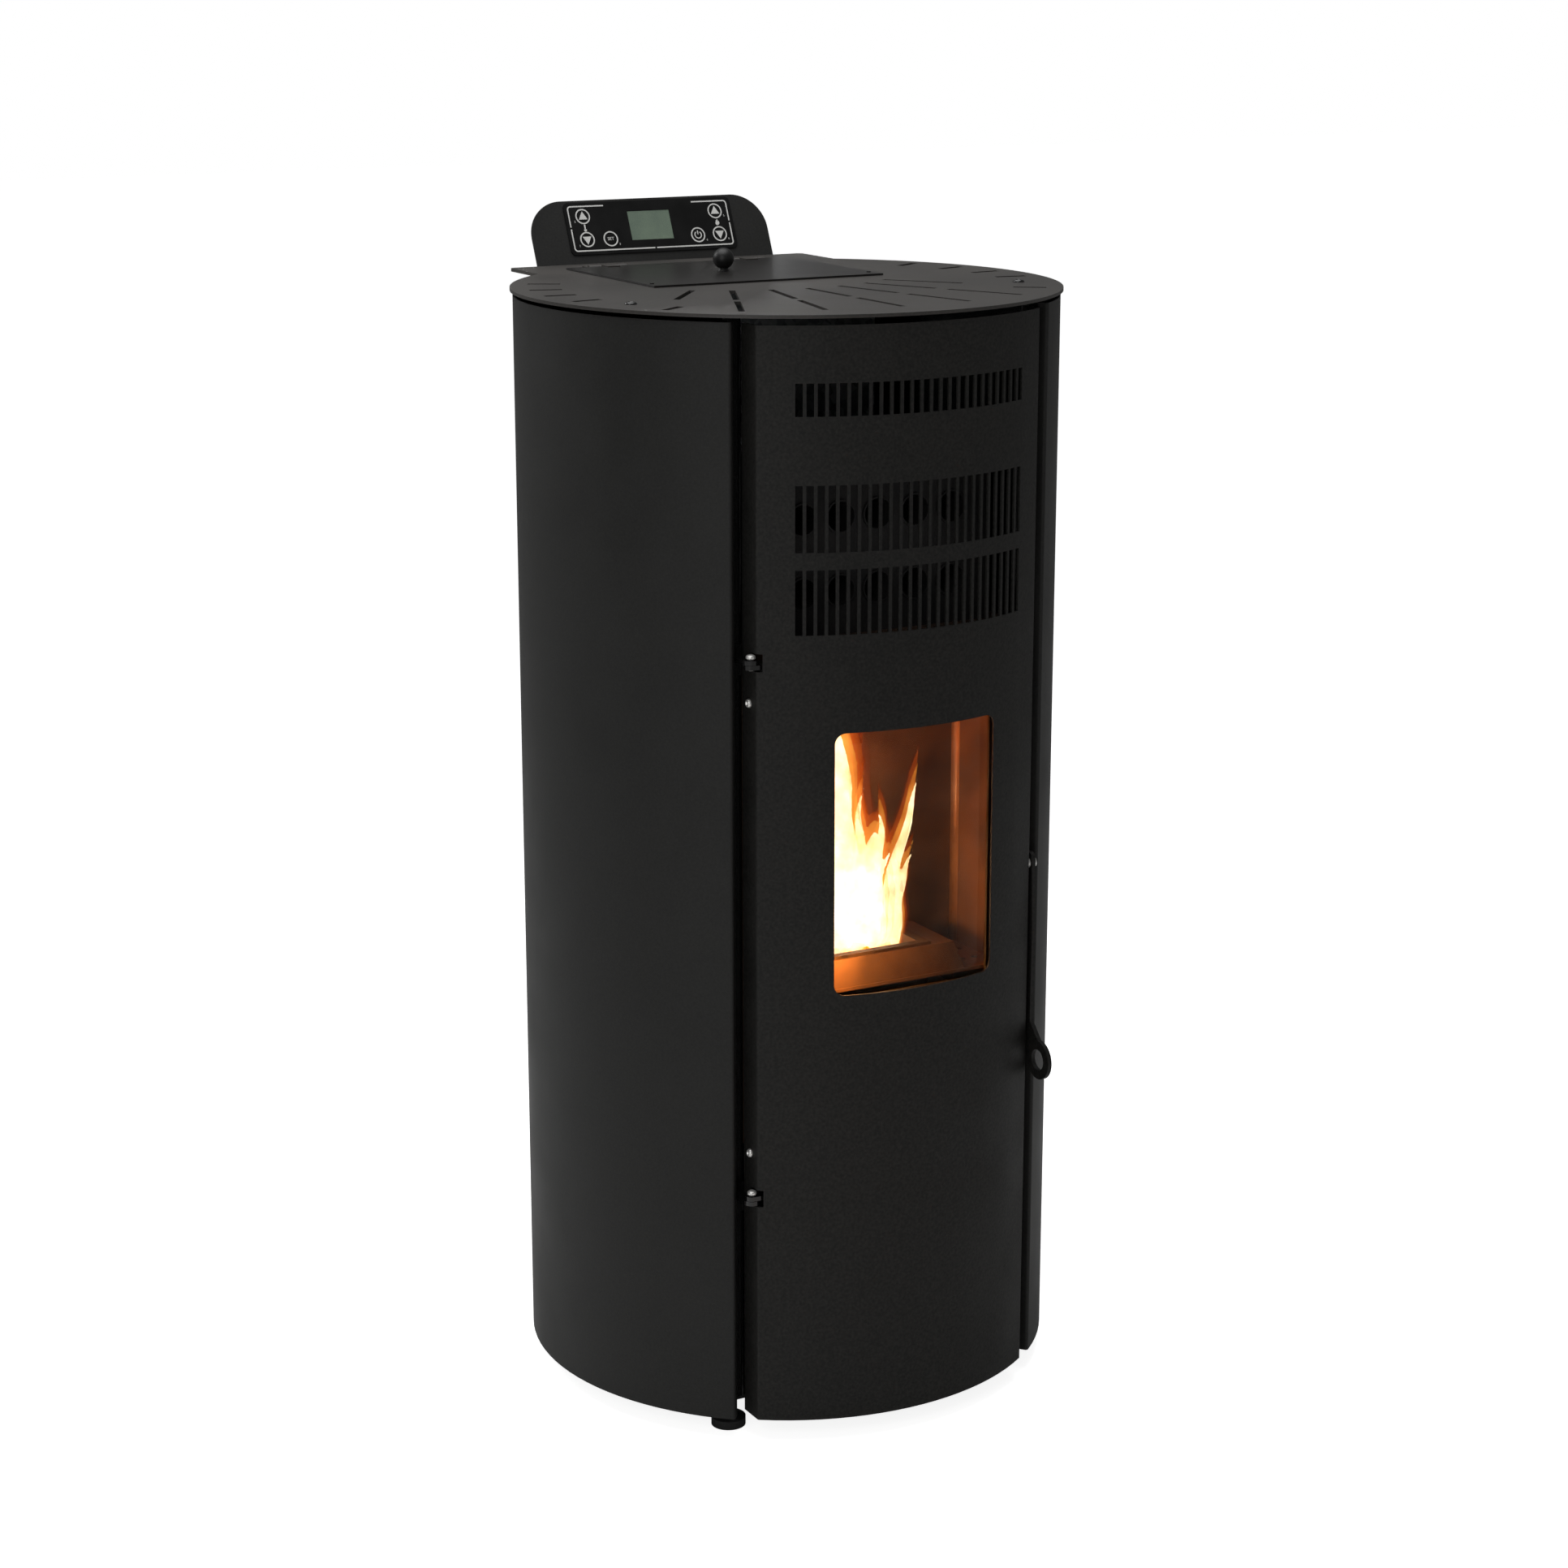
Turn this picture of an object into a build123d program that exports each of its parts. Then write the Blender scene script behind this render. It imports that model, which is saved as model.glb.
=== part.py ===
from build123d import *
from math import cos, hypot, radians, sin, sqrt
import os

# Free-standing round pellet stove. Millimetres, +Z up, the door faces -Y and the floor is z = 0.
# Everything is drawn about the round body's own axis. save() then moves it so that the origin lies
# on the floor, halfway between the door's front and the end of the flue stub.

# ---- overall sizes
body_r = 250.0           # outside radius of the door and the two side panels
body_h = 1032.0          # floor to the upper face of the top plate
ground_gap = 20.0        # floor to the lower edge of the panels
skin_t = 1.5             # side panels, chassis and rear panel
door_t = 2.0             # door sheet
bend_r = 2.0             # centreline radius of a sheet's folds
run_gap = 0.3            # between faces that move past each other
shaft_gap = 0.08         # radial clearance of a pin in its hole
hole_gap = 0.1           # looser fits: stems, sockets and seats in sheet
past = 9.0               # how far a cutter runs past the faces that it cuts

# ---- plan of the body, angles from the front
door_half = 34.7         # degrees to each side of the front that the door covers
panel_front = 39.75      # degrees, where the side panels' front edges stand
door_flange = 26.0       # depth of the door's folded sides
panel_flange = 9.0       # inward fold on the side panels' front edges
panel_rear_flange = 17.0
chassis_gap = 0.8        # chassis side sheet inside the door's folded side
flange_gap = 3.5         # chassis front flange behind the door's folded sides
chassis_front_flange = 17.0
chassis_rear_flange = 10.0
rear_flat = 12.0         # the flat back lies this far inside the round
screw_head_r = 4.0
button_share = 0.4       # a button head's height over its radius
screw_rows = (0.08, 0.5, 0.92)   # case screws, as shares of the panels' height
rear_screw_up = 30.0     # rear panel's upper screws above the side panels' screws
flue_screw_gap = 9.4     # rear panel's lowest screws from the side of the flue pipe
louvre_size = (44.0, 5.0)
louvre_rows = 7
louvre_pitch = 16.0
louvre_x = 63.0
louvre_z = 470.0

# ---- base and feet
base_z = 31.0
base_t = 3.0
base_inset = 16.0        # base plate's rim inside the panels
foot_pad_r = 16.0
foot_pad_h = 8.0
foot_stem_r = 5.0
foot_stem_top = 42.0
foot_collar = 3.0        # the pad's shoulder about the stem
foot_collar_h = 5.0
foot_from_chassis = 6.5
foot_y = 158.0
foot_nut_flats = 17.0
foot_nut_h = 5.0
base_notch_gap = 1.0     # base plate's notch about the swing of the door's folded side

# ---- top plate and hopper lid
plate_t = 3.0
plate_lip = 2.5          # the plate stands past the panels
tail_half_w = 160.0
tail_over = 24.0         # tail past the flat back
tail_corner_r = 6.0
slot_w = 5.8             # sunburst slots
slot_pair_gap = 13.0
slot_ring_gap = 69.0     # lid's front edge to the inner ring of slots
slot_rim = 43.5          # outer ring of slots to the plate's rim
slot_angles = (0, 12.5, -12.5, 25, -25, 37.5, -37.5)
slot_single = 30.0       # past this angle only the inner ring has a slot
side_slot = (30.0, 7.0)
side_slot_angles = (54.7, 80.5, 93.2, 106.0, 119.4)
side_slot_inset = 30.5
bolt_angle = 67.5
bolt_inset = 37.5
bolt_r = 5.5
lid_w = 240.0
lid_d = 188.0
lid_t = 1.5
lid_to_back = 20.0       # lid's rear edge in front of the flat back
mouth_lap = 8.0          # plate left under the lid's edge
lid_rim_gap = 3.0        # lid's downturned rim inside the mouth
lid_rim_h = 10.0
lid_rim_t = 2.0
lid_stud = (6.0, 17.0)   # front studs in from the lid's side and front edge
lid_stud_r = 2.0
knob_r = 10.0
knob_stem_r = 4.0
knob_stem_h = 3.5
knob_foot = 1.5          # the stem's flare at the lid
knob_sink = 2.0          # ball sunk over the stem's end
lid_hinge_r = 2.5
lid_hinge_pin_r = 1.2
lid_hinge_w = 40.0
lid_hinge_x = 75.0
lid_hinge_out = 1.0      # knuckle's side to the lid's rear edge
knuckle_gap = 0.5        # about the knuckles in the plate
lid_leaf = 12.0
plate_leaf = 14.0
plate_leaf_t = 1.1

# ---- control panel
panel_w = 258.0
panel_slope_h = 64.5
panel_tilt = 24.0        # degrees back from upright
panel_t = 2.0
panel_corner_r = 36.0
panel_fold = 22.0        # leg of the sheet under the top plate's tail
bezel_w = 182.0
bezel_h = 53.0
bezel_t = 1.2
bezel_corner_r = 5.0
bezel_up = 9.0           # bezel's lower edge above the fold
screen_w = 45.5
screen_h = 29.5
screen_off = (-0.5, 1.0) # screen's middle from the bezel's middle
screen_down = 0.4        # screen's face under the bezel's
casing_d = 15.0          # electronics casing behind the panel
casing_in = (10.0, 3.0)  # casing's sides inside the bezel's
casing_corner_r = 4.0
casing_chamfer = 3.0

# ---- door furniture
top_gap_door = 6.0
top_gap_panel = 4.0
door_gap_low = 1.5       # door's lower edge above the panels' lower edge
window_half = 19.0       # degrees
window_corner_r = 10.0
slot_count = 25
grille_half = 27.05      # degrees to the outermost slot's outer side
bar_share = 0.33         # part of the slot pitch that is metal
slot_rows_over_box = ((16.3, 73.5), (88.6, 146.7))
slot_row_under_top = (83.4, 55.0)
frame_over_mouth = (18.0, 25.0)  # inner frame past the firebox mouth, below and above
frame_plate_t = 3.0
frame_head = 5.0         # frame's opening under the firebox mouth's head
frame_wall_t = 2.5
frame_inset = 5.4        # door's inner frame inside the folded sides
frame_window_side = 2.0  # frame's opening inside the firebox mouth's edge
rope_w = 12.0
rope_from_mouth = 1.5
rope_from_edge = 6.0     # rope inside the inner frame's lower and upper edge
rope_corner_r = 14.0
rope_chamfer = 3.0
glass_t = 4.0
glass_gasket_t = 2.0
glass_over = 2.5         # degrees that the glass laps behind the skin
glass_over_z = 14.0
retainer_t = 2.0
retainer_in = 1.5        # degrees that a retainer laps over the glass
retainer_web = (0.2, 1.1)  # degrees past the glass, the strip's leg

# ---- hinges and latch
hinge_out = 2.7          # pin axis outside the door's folded side
hinge_in = 5.5           # pin axis behind the door's corner
hinge_pin_r = 3.0
hinge_head = (4.3, 4.0)   # radius and height of the pin's head
lug_t = 4.0
lug_eye = 3.5            # metal about the pin
lug_foot = (3.0, 28.0)   # thickness and height of the lug's welded foot
bracket_half = 6.0       # half width of the bracket's eye about the pin
bracket_corner_r = 5.0
bracket_tab = (3.0, 50.0)  # thickness and height of the screwed tab
bracket_screw_up = (46.0, -32.0)  # screw from the lug's foot, lower and upper hinge
bracket_screw_r = 2.3
hinge_low_z = 232.0
hinge_high_z = 726.0
pin_over = 5.0
pin_under = 1.5
notch_h = 16.0
notch_under = 2.0
notch_half = 8.5         # notch in the door's corner, about the pin
lever_t = 4.0
lever_off = 4.2          # lever's inner face outside the door's folded side
latch_z = 512.0          # lever's pivot
latch_y_in = 8.5         # pivot behind the door's corner
latch_bolt_r = 3.0
latch_nut = (2.5, 3.0)   # the bolt's nut: radius over the shank, and height
latch_shoulder = 2.0
stud_r = 3.0
stud_tab = (2.5, 8.0, 22.0)  # bracket's thickness, and how far it goes under and over the stud
stud_back = 11.0         # stud behind the pivot
ring_drop = 186.0        # finger ring's centre under the pivot
ring_forward = 22.0
ring_hole_r = 10.0
ring_r = 18.5
lever_head_r = 6.5       # lever's rounded head over the pivot
lever_head_up = 4.0      # the head's centre over the pivot
hook_throat = 1.5        # between the stud and the hook
hook_t = 4.0
hook_under = 4.5         # hook's upper face under the stud's middle
hook_h = 12.0

# ---- firebox
firebox_z = 300.0
box_under_top = 289.0    # firebox roof under the top plate
box_wall = 3.0
box_side_gap = 5.0       # between the firebox and the chassis
box_depth = 84.0
mouth_side = 14.0        # firebox mouth's edge inside the box wall
mouth_sill = 3.0         # level with the firebox floor sheet, so that the drawer slides out over it
mouth_head = 35.0
front_past_frame = 4.0   # firebox front plate past the door's inner frame
smoke_hole_in = (20.0, 20.0)  # roof opening inside the exchanger's side and inside the box
igniter_bore = 7.2
floor_over = 108.0       # ash compartment's height
floor_t = 3.0
floor_pot_gap = 2.0
ash_hole_r = 3.5
ash_hole_in = 12.0       # first ash hole from the stand's foot
ash_hole_pitch = (14.0, 28.0)
window_over_floor = 18.1
window_under_roof = 71.2
pot_w = 104.0
pot_d = 60.0
pot_h = 36.0
pot_wall = 3.0
pot_rim = (8.0, 5.0)     # rim past the cup, at its ends and along its sides
pot_corner_r = 8.0
pot_slot = (8.0, 38.0, 3.0)  # air slots: inner end, outer end, width
pot_slot_rows = 5
pot_slot_pitch = 9.0
pot_in_box = 1.0         # the pot's middle in front of the chamber's
stand_h = 27.0
stand_half_w = (95.0, 83.0)
stand_wall = 2.5
stand_over_pot = (8.0, 7.0)  # stand past the pot, front and rear, at its foot and at its top
igniter_drop = 18.0      # igniter's axis under the pot's rim
igniter_r = 5.2
igniter_sleeve_r = 7.0
igniter_sleeve_wall = 1.0
igniter_collar_r = 12.0
igniter_collar_t = 2.0
igniter_reach = (20.0, 32.0)  # sleeve and rod behind the firebox
igniter_gap = 1.0        # between the rod's end and the auger tube above it
drawer_side = 18.0       # drawer's side inside the mouth's edge
drawer_h = 84.0
drawer_wall = 1.5
drawer_in = (8.0, 6.0)   # drawer behind the firebox front and before its back wall
drawer_grip = (70.0, 14.0, 5.0)  # width, height and depth of its pull

# ---- heat exchanger and ducts
tube_r = 15.0
tube_wall = 1.5
tube_pitch = 38.0
tube_columns = 5
tube_rows_over_box = (40.0, 106.0)
exchanger_side = 22.0    # exchanger's side inside the chassis
exchanger_h = 163.0
exchanger_front = 9.0    # tube plate behind the chassis front
tube_ends = (2.0, 0.5)   # tubes proud of the front plate and short of the rear one
smoke_port = (20.0, 110.0)  # smoke opening over the firebox roof
smoke_port_in = 4.0
duct_d = 40.0
duct_wall = 1.5
duct_from_side = 2.0     # smoke duct inside the chassis side
smoke_side_w = 21.0      # duct's side box, beside the fan
riser_from_side = 15.0   # room air riser inside the chassis side
riser_from_auger = 5.0
duct_gap = 4.0           # between the plenum and the smoke duct
plenum_hole = (30.0, 6.0, 12.0)  # plenum's mouth in from its left, its right and its floor and roof
smoke_duct_head = 120.0  # smoke duct's top over the firebox roof
smoke_duct_foot = 42.0   # duct's side box about the fan's axis
smoke_eye_r = 30.0
auger_r = 27.0
auger_tube_wall = 3.0
auger_len = 226.0
outlet_down = 176.0      # hopper's outlet, down the auger from its upper end
auger_pitch = 42.0
auger_blade_t = 3.0
auger_shaft_r = 8.0
auger_under_box = 100.0  # auger's upper end under the firebox roof
auger_behind = 29.0      # and behind the duct's front
auger_flange = 8.0       # radial width of the tube's lower flange
auger_flange_t = 3.0
auger_edge_gap = 2.0     # flight inside the tube
auger_start = 4.0        # shaft's upper end down the tube
auger_ends = (26.0, 2.0) # tube left free of the flight, and shaft past the upper turn
shaft_tail = 22.0        # shaft into the gearbox
gearbox_w = 62.0
gearbox_t = 32.0
gearbox_corner_r = 6.0
gear_motor_len = 34.0
chute_half_w = 34.0
chute_wall = 2.0
chute_head = 32.0        # chute's roof over the auger's upper end
chute_hole = (4.0, 24.0, 20.0)  # hole in the firebox: inside the chute, under and over the auger's end
hopper_wall = 1.5
hopper_clear = 1.0       # hopper's inside past the mouth's edge
hopper_flange = 6.0
hopper_flange_t = 2.0
neck_over = 75.0         # funnel's foot over the auger's axis
neck_h = 60.0
funnel_h = 240.0
outlet_side = 50.0

# ---- fans, motors, pipes and electrics
flue_r = 40.0            # 80 mm flue pipe size
flue_wall = 1.5
flue_past_back = 52.0    # flue stub past the flat back
flue_taper = 40.0
flue_corner_r = 5.0
flue_step = 0.8          # stub's sleeve over the inner pipe
flue_stub_from = 2.0     # the sleeve starts this far past the flat back
intake_r = 25.0
intake_wall = 1.5
intake_past_back = 25.0
intake_flange = 10.0     # radial width
intake_flange_t = 2.0
intake_x = 62.0
intake_z = 340.0
smoke_scroll_r = 62.0
smoke_scroll_step = 5.0
smoke_scroll_w = 56.0
smoke_fan_gap = 1.7      # between the fan's scroll and the smoke duct in front of it
smoke_fan_z = 190.0
smoke_wheel_r = 50.0
smoke_wheel_gap = (6.0, 14.0)  # wheel from the motor side, and its width less than the scroll's
smoke_shaft = 16.0
smoke_outlet_share = 1.3
smoke_outlet_len = 95.0  # fan's axis to the end of its outlet
room_scroll_r = 50.0
room_scroll_step = 5.0
room_fan_z = 130.0
room_wheel_r = 42.0
room_wheel_gap = 8.0     # wheel inside the scroll, at each side
room_outlet = 75.0       # fan's axis to the foot of the riser
blade_count = 18
blade_t = 1.0
blade_lean = 4.0
blade_share = 0.26       # of the wheel's radius that its ring covers
wheel_disc_t = 1.5
wheel_hub_r = 4.0
hub_share = 0.6          # of the wheel's width that its hub fills
eye_share = 0.55         # a scroll's inlet radius over its start radius
fan_foot_w = 12.0
fan_foot_sink = 0.5      # foot let into the scroll's round
motor_r = 24.0
motor_len = 36.0
motor_core_share = 0.45  # of the motor's length that its laminated block takes
motor_bell_r = 19.0
motor_corner_r = 4.0
motor_arm = (10.0, 4.0)  # width and thickness of the cross arm
inlet_w = 48.0
inlet_h = 28.0
inlet_d = 24.0
inlet_z = 110.0
inlet_flange = (5.0, 4.0, 2.0)  # past the body at its sides, past it above and below, thickness
inlet_corner_r = 3.0
socket_w = 22.0
socket_h = 16.0
socket_d = 17.0
socket_off = -10.0       # socket's middle from the inlet's middle
contact_size = (2.0, 5.0)
contact_pitch = 5.0
contact_in = 3.0         # contact blades' ends inside the socket's mouth
rocker_w = 16.0
rocker_h = 18.0
rocker_off = 13.0
rocker_gap = 0.9         # rocker's ends short of the well, for its swing
rocker_in = 3.0          # rocker's axis inside the flat back
rocker_well = 9.0
rocker_pivot = (1.2, 1.0)  # radius, and how far each end stands in the well's wall
rocker_profile = (4.0, 4.2, 3.2, 6.8)  # from the axis: root, pressed end, dish and raised end
board_box = (26.0, 100.0, 150.0)  # controller's depth, width and height
board_from_back = 48.0
board_z = 250.0
board_corner_r = 4.0
board_terminals = (8.0, 10.0, 14.0)  # terminal strip: depth, inset at each end, height

# ---- worked out from the sizes above
plate_z = body_h - plate_t
door_x = body_r * sin(radians(door_half))
door_y = -body_r * cos(radians(door_half))
chassis_out = door_x - chassis_gap
chassis_in = chassis_out - skin_t
front_y = door_y + door_flange + flange_gap
back_y = body_r - rear_flat
sheet_z = base_z + base_t
tail_y = back_y + tail_over
flue_end = back_y + flue_past_back
plate_r = body_r + plate_lip
lid_back = back_y - lid_to_back
lid_front = lid_back - lid_d
knob_y = (lid_back + lid_front) / 2
lid_z = body_h + run_gap
firebox_top = plate_z - box_under_top
floor_z = firebox_z + floor_over
pot_z = floor_z + floor_t + stand_h
box_back = front_y + box_depth
box_in = chassis_in - box_side_gap - box_wall
mouth_half_w = box_in - mouth_side
frame_window_half = mouth_half_w - frame_window_side
drawer_half_w = mouth_half_w - drawer_side
exchanger_half_w = chassis_in - exchanger_side
window_z = (floor_z + window_over_floor + floor_t, firebox_top - window_under_roof)
duct_y = (box_back + box_wall + run_gap, box_back + box_wall + run_gap + duct_d)
auger_top = (duct_y[0] + auger_behind, firebox_top - auger_under_box)
pin_x = -(door_x + hinge_out)
pin_y = door_y + hinge_in
swing_r = hypot(door_t + hinge_out, door_flange - hinge_in)
latch_y = door_y + latch_y_in
lever_x = door_x + lever_off
door_z = (ground_gap + door_gap_low, plate_z - top_gap_door)
frame_y = front_y - run_gap - rope_w
smoke_duct_x = (chassis_in - duct_from_side - duct_d, chassis_in - duct_from_side)
smoke_scroll_x = (smoke_duct_x[1] - smoke_side_w - smoke_scroll_w, smoke_duct_x[1] - smoke_side_w)
inlet_x = -chassis_in / 2
riser_x = (-(chassis_in - riser_from_side), -(auger_r + auger_tube_wall + riser_from_auger))
smoke_fan_y = duct_y[1] + smoke_scroll_r + 3 * smoke_scroll_step + smoke_fan_gap
room_fan_y = duct_y[0] + room_scroll_r + 4 * room_scroll_step
frame_shift = -(flue_end - body_r) / 2


def save(name, *shapes):
    """Move the piece into the row frame and write its solids to one file."""
    solids = [s for shape in shapes for s in shape.solids()]
    moved = [Pos(0, frame_shift, 0) * s for s in solids]
    export_step(moved[0] if len(moved) == 1 else Compound(children=moved), f"parts/{name}.step")


def block(x, y, z):
    """A box from its lowest and highest coordinate along each axis."""
    middle = Pos((x[0] + x[1]) / 2, (y[0] + y[1]) / 2, (z[0] + z[1]) / 2)
    return middle * Box(x[1] - x[0], y[1] - y[0], z[1] - z[0])


def rod(start, end, radius):
    """A round bar between two points."""
    a, b = Vector(*start), Vector(*end)
    bar = Cylinder(radius, (b - a).length, align=(Align.CENTER, Align.CENTER, Align.MIN))
    return Plane(origin=a, z_dir=b - a) * bar


def tube(start, end, radius, wall):
    return rod(start, end, radius) - rod(start, end, radius - wall)


def mirrored(shape):
    return shape.mirror(Plane.YZ)


def rise(sketch, z):
    """Extrude a plan outline between two heights."""
    return extrude(Pos(0, 0, z[0]) * sketch, z[1] - z[0])


def on_round(radius, angle):
    """Point on a circle about the body axis, the angle from the front towards +X."""
    return (radius * sin(radians(angle)), -radius * cos(radians(angle)))


def sheet_plan(edges, thickness, corners):
    """Thicken a folded sheet's centreline, its corners rounded to the bend radius."""
    wire = Wire(edges)
    bends = [v for v in wire.vertices() if any(hypot(v.X - c[0], v.Y - c[1]) < 0.01 for c in corners)]
    wire = wire.fillet_2d(bend_r, bends)
    halves = [offset(wire, amount=thickness / 2, side=side, closed=True) for side in (Side.LEFT, Side.RIGHT)]
    return make_face(halves[0]) + make_face(halves[1])


def round_sector(r_in, r_out, angles, z):
    """Curved plate about the body axis between two angles from the front."""
    a, b = angles
    mid = (a + b) / 2
    outer = ThreePointArc(on_round(r_out, a), on_round(r_out, mid), on_round(r_out, b))
    inner = ThreePointArc(on_round(r_in, b), on_round(r_in, mid), on_round(r_in, a))
    ends = [Line(outer @ 1, inner @ 0), Line(inner @ 1, outer @ 0)]
    return rise(make_face(Wire([outer.edge(), ends[0].edge(), inner.edge(), ends[1].edge()])), z)


# ---- base, chassis and outer panels

def base_plate():
    disc = Circle(body_r - base_inset) & Rectangle(2 * body_r, 2 * (back_y - skin_t))
    disc += Pos(0, (back_y - skin_t) / 2) * Rectangle(2 * chassis_out, back_y - skin_t)
    plate = rise(disc, (base_z, base_z + base_t))
    for side in (-1, 1):
        inner = -pin_x - swing_r - base_notch_gap
        x = sorted((side * inner, side * (chassis_out + chassis_front_flange)))
        plate -= block(x, (-body_r, front_y), (0, body_h))
    for x, y in foot_places():
        plate -= rod((x, y, 0), (x, y, body_h), foot_stem_r + hole_gap)
    return plate


def foot_places():
    x = chassis_out + foot_from_chassis
    return [(sx * x, sy * foot_y) for sx in (-1, 1) for sy in (-1, 1)]


def levelling_foot():
    collar_z = foot_pad_h + foot_collar_h
    with BuildSketch(Plane.XZ) as outline:
        with BuildLine():
            Polyline(
                (0, 0), (foot_pad_r, 0), (foot_pad_r, foot_pad_h),
                (foot_stem_r + foot_collar, collar_z), (foot_stem_r, collar_z),
                (foot_stem_r, foot_stem_top), (0, foot_stem_top), close=True,
            )
        make_face()
    return revolve(outline.sketch, Axis.Z)


def foot_nut():
    hexagon = RegularPolygon(foot_nut_flats / 2, 6, major_radius=False)
    return Pos(0, 0, base_z - foot_nut_h) * extrude(hexagon - Circle(foot_stem_r + hole_gap), foot_nut_h)


def chassis_side():
    mid = skin_t / 2
    x = chassis_in + mid
    points = [
        (chassis_out + chassis_front_flange, front_y + mid), (x, front_y + mid),
        (x, back_y - skin_t - mid), (chassis_in - chassis_rear_flange, back_y - skin_t - mid),
    ]
    plan = sheet_plan(Polyline(*points).edges(), skin_t, points[1:3])
    return rise(plan, (sheet_z, plate_z))


def side_panel():
    mid_r = body_r - skin_t / 2
    front = on_round(mid_r, panel_front)
    fold = on_round(mid_r - panel_flange, panel_front)
    leg = (fold[0], front_y)
    seat_x = chassis_out + skin_t / 2
    rear = (seat_x, panel_rear_y())
    end = (seat_x, rear[1] + panel_rear_flange)
    arc = ThreePointArc(front, (mid_r, 0), rear)
    edges = [Line(leg, fold).edge(), Line(fold, front).edge(), arc.edge(), Line(rear, end).edge()]
    return rise(sheet_plan(edges, skin_t, [fold, front, rear]), (ground_gap, plate_z - top_gap_panel))


def panel_rear_y():
    """Where a side panel's curved sheet meets its rear flange, on the sheet's centreline."""
    return sqrt((body_r - skin_t / 2) ** 2 - (chassis_out + skin_t / 2) ** 2)


def rear_panel():
    panel = block((-chassis_out, chassis_out), (back_y - skin_t, back_y), (base_z, plate_z - top_gap_panel))
    panel -= flue_bore()
    panel -= rod((intake_x, 0, intake_z), (intake_x, body_r, intake_z), intake_r + 1)
    half_w, half_h = inlet_w / 2 + 2 * hole_gap, inlet_h / 2 + 2 * hole_gap
    panel -= block((inlet_x - half_w, inlet_x + half_w), (0, body_r), (inlet_z - half_h, inlet_z + half_h))
    half_w, half_h = louvre_size[0] / 2, louvre_size[1] / 2
    louvre = block((-half_w, half_w), (0, body_r), (-half_h, half_h))
    for row in range(louvre_rows):
        for side in (-1, 1):
            panel -= Pos(side * louvre_x, 0, louvre_z + louvre_pitch * row) * louvre
    return panel


def case_screws():
    """Button heads on the side panels' rear flanges and along the edges of the rear panel."""
    heads = []
    seat_y = panel_rear_y() + panel_rear_flange / 2
    rear_x = chassis_in - chassis_rear_flange / 2
    span = plate_z - top_gap_panel - ground_gap
    for row, share in enumerate(screw_rows):
        z = ground_gap + share * span
        rear_z = z + rear_screw_up if row else low_screw_z(rear_x)
        for side in (-1, 1):
            heads.append(button((side * (chassis_out + skin_t), seat_y, z), (side, 0, 0), screw_head_r))
            heads.append(button((side * rear_x, back_y, rear_z), (0, 1, 0), screw_head_r))
    return heads


def low_screw_z(x):
    """Height of the rear panel's lowest screws, at least as far from the flue pipe as its gap says."""
    flue_x, flue_z = flue_place()
    reach = flue_r + flue_screw_gap
    return flue_z - sqrt(max(reach ** 2 - (x - flue_x) ** 2, 0))


def button(seat, direction, radius):
    """Low button head of a screw, standing on a surface."""
    head = Cylinder(radius, radius * button_share, align=(Align.CENTER, Align.CENTER, Align.MIN))
    return Plane(origin=seat, z_dir=direction) * head


# ---- top plate, lid and control panel

def top_plate():
    tail = Pos(0, tail_y / 2) * RectangleRounded(2 * tail_half_w, tail_y, tail_corner_r)
    plate = rise(Circle(plate_r) + tail, (plate_z, body_h))
    x, y = mouth_half()
    plate -= block((-x, x), (knob_y - y, knob_y + y), (0, 2 * body_h))
    for place in sunburst():
        plate -= place
    half_w, half_d = side_slot[0] / 2, side_slot[1] / 2
    hole = block((-half_w, half_w), (-half_d, half_d), (0, 2 * body_h))
    for angle in side_slot_angles:
        for side in (-1, 1):
            turn = side * angle
            at = on_round(plate_r - side_slot_inset, turn)
            plate -= Pos(at[0], at[1]) * Rot(0, 0, turn - 90) * hole
    y, z = lid_axis()
    for x in (-lid_hinge_x, lid_hinge_x):
        half = lid_hinge_w / 2 + run_gap
        reach = lid_hinge_r + knuckle_gap
        plate -= block((x - half, x + half), (y - reach, y + reach), (0, 2 * body_h))
    return plate


def mouth_half():
    """Half width and half depth of the hopper mouth in the top plate."""
    return lid_w / 2 - mouth_lap, lid_d / 2 - mouth_lap


def sunburst():
    """Radial slots about the lid knob, in two rings between the lid and the plate's front rim."""
    inner = lid_d / 2 + slot_ring_gap
    outer = knob_y + plate_r - slot_rim
    length = (outer - inner - slot_pair_gap) / 2
    places = []
    for angle in slot_angles:
        starts = [inner] if abs(angle) > slot_single else [inner, inner + length + slot_pair_gap]
        for start in starts:
            slot = block((-slot_w / 2, slot_w / 2), (-start - length, -start), (0, 2 * body_h))
            places.append(Pos(0, knob_y) * Rot(0, 0, angle) * slot)
    return places


def top_plate_bolts():
    heads = []
    for side in (-1, 1):
        x, y = on_round(plate_r - bolt_inset, side * bolt_angle)
        heads.append(button((x, y, body_h), (0, 0, 1), bolt_r))
    return heads


def lid_axis():
    return lid_back + lid_hinge_r + lid_hinge_out, lid_z


def hopper_lid():
    x = lid_w / 2
    lid = block((-x, x), (lid_front, lid_back), (lid_z, lid_z + lid_t))
    rim_x, rim_y = mouth_half()
    rim_x, rim_y = rim_x - lid_rim_gap, rim_y - lid_rim_gap
    rim = block((-rim_x, rim_x), (knob_y - rim_y, knob_y + rim_y), (lid_z - lid_rim_h, lid_z))
    inner_x, inner_y = rim_x - lid_rim_t, rim_y - lid_rim_t
    rim -= block((-inner_x, inner_x), (knob_y - inner_y, knob_y + inner_y), (0, 2 * body_h))
    for side in (-1, 1):
        seat = (side * (x - lid_stud[0]), lid_front + lid_stud[1], lid_z + lid_t)
        lid += button(seat, (0, 0, 1), lid_stud_r)
    return lid + rim


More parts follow.
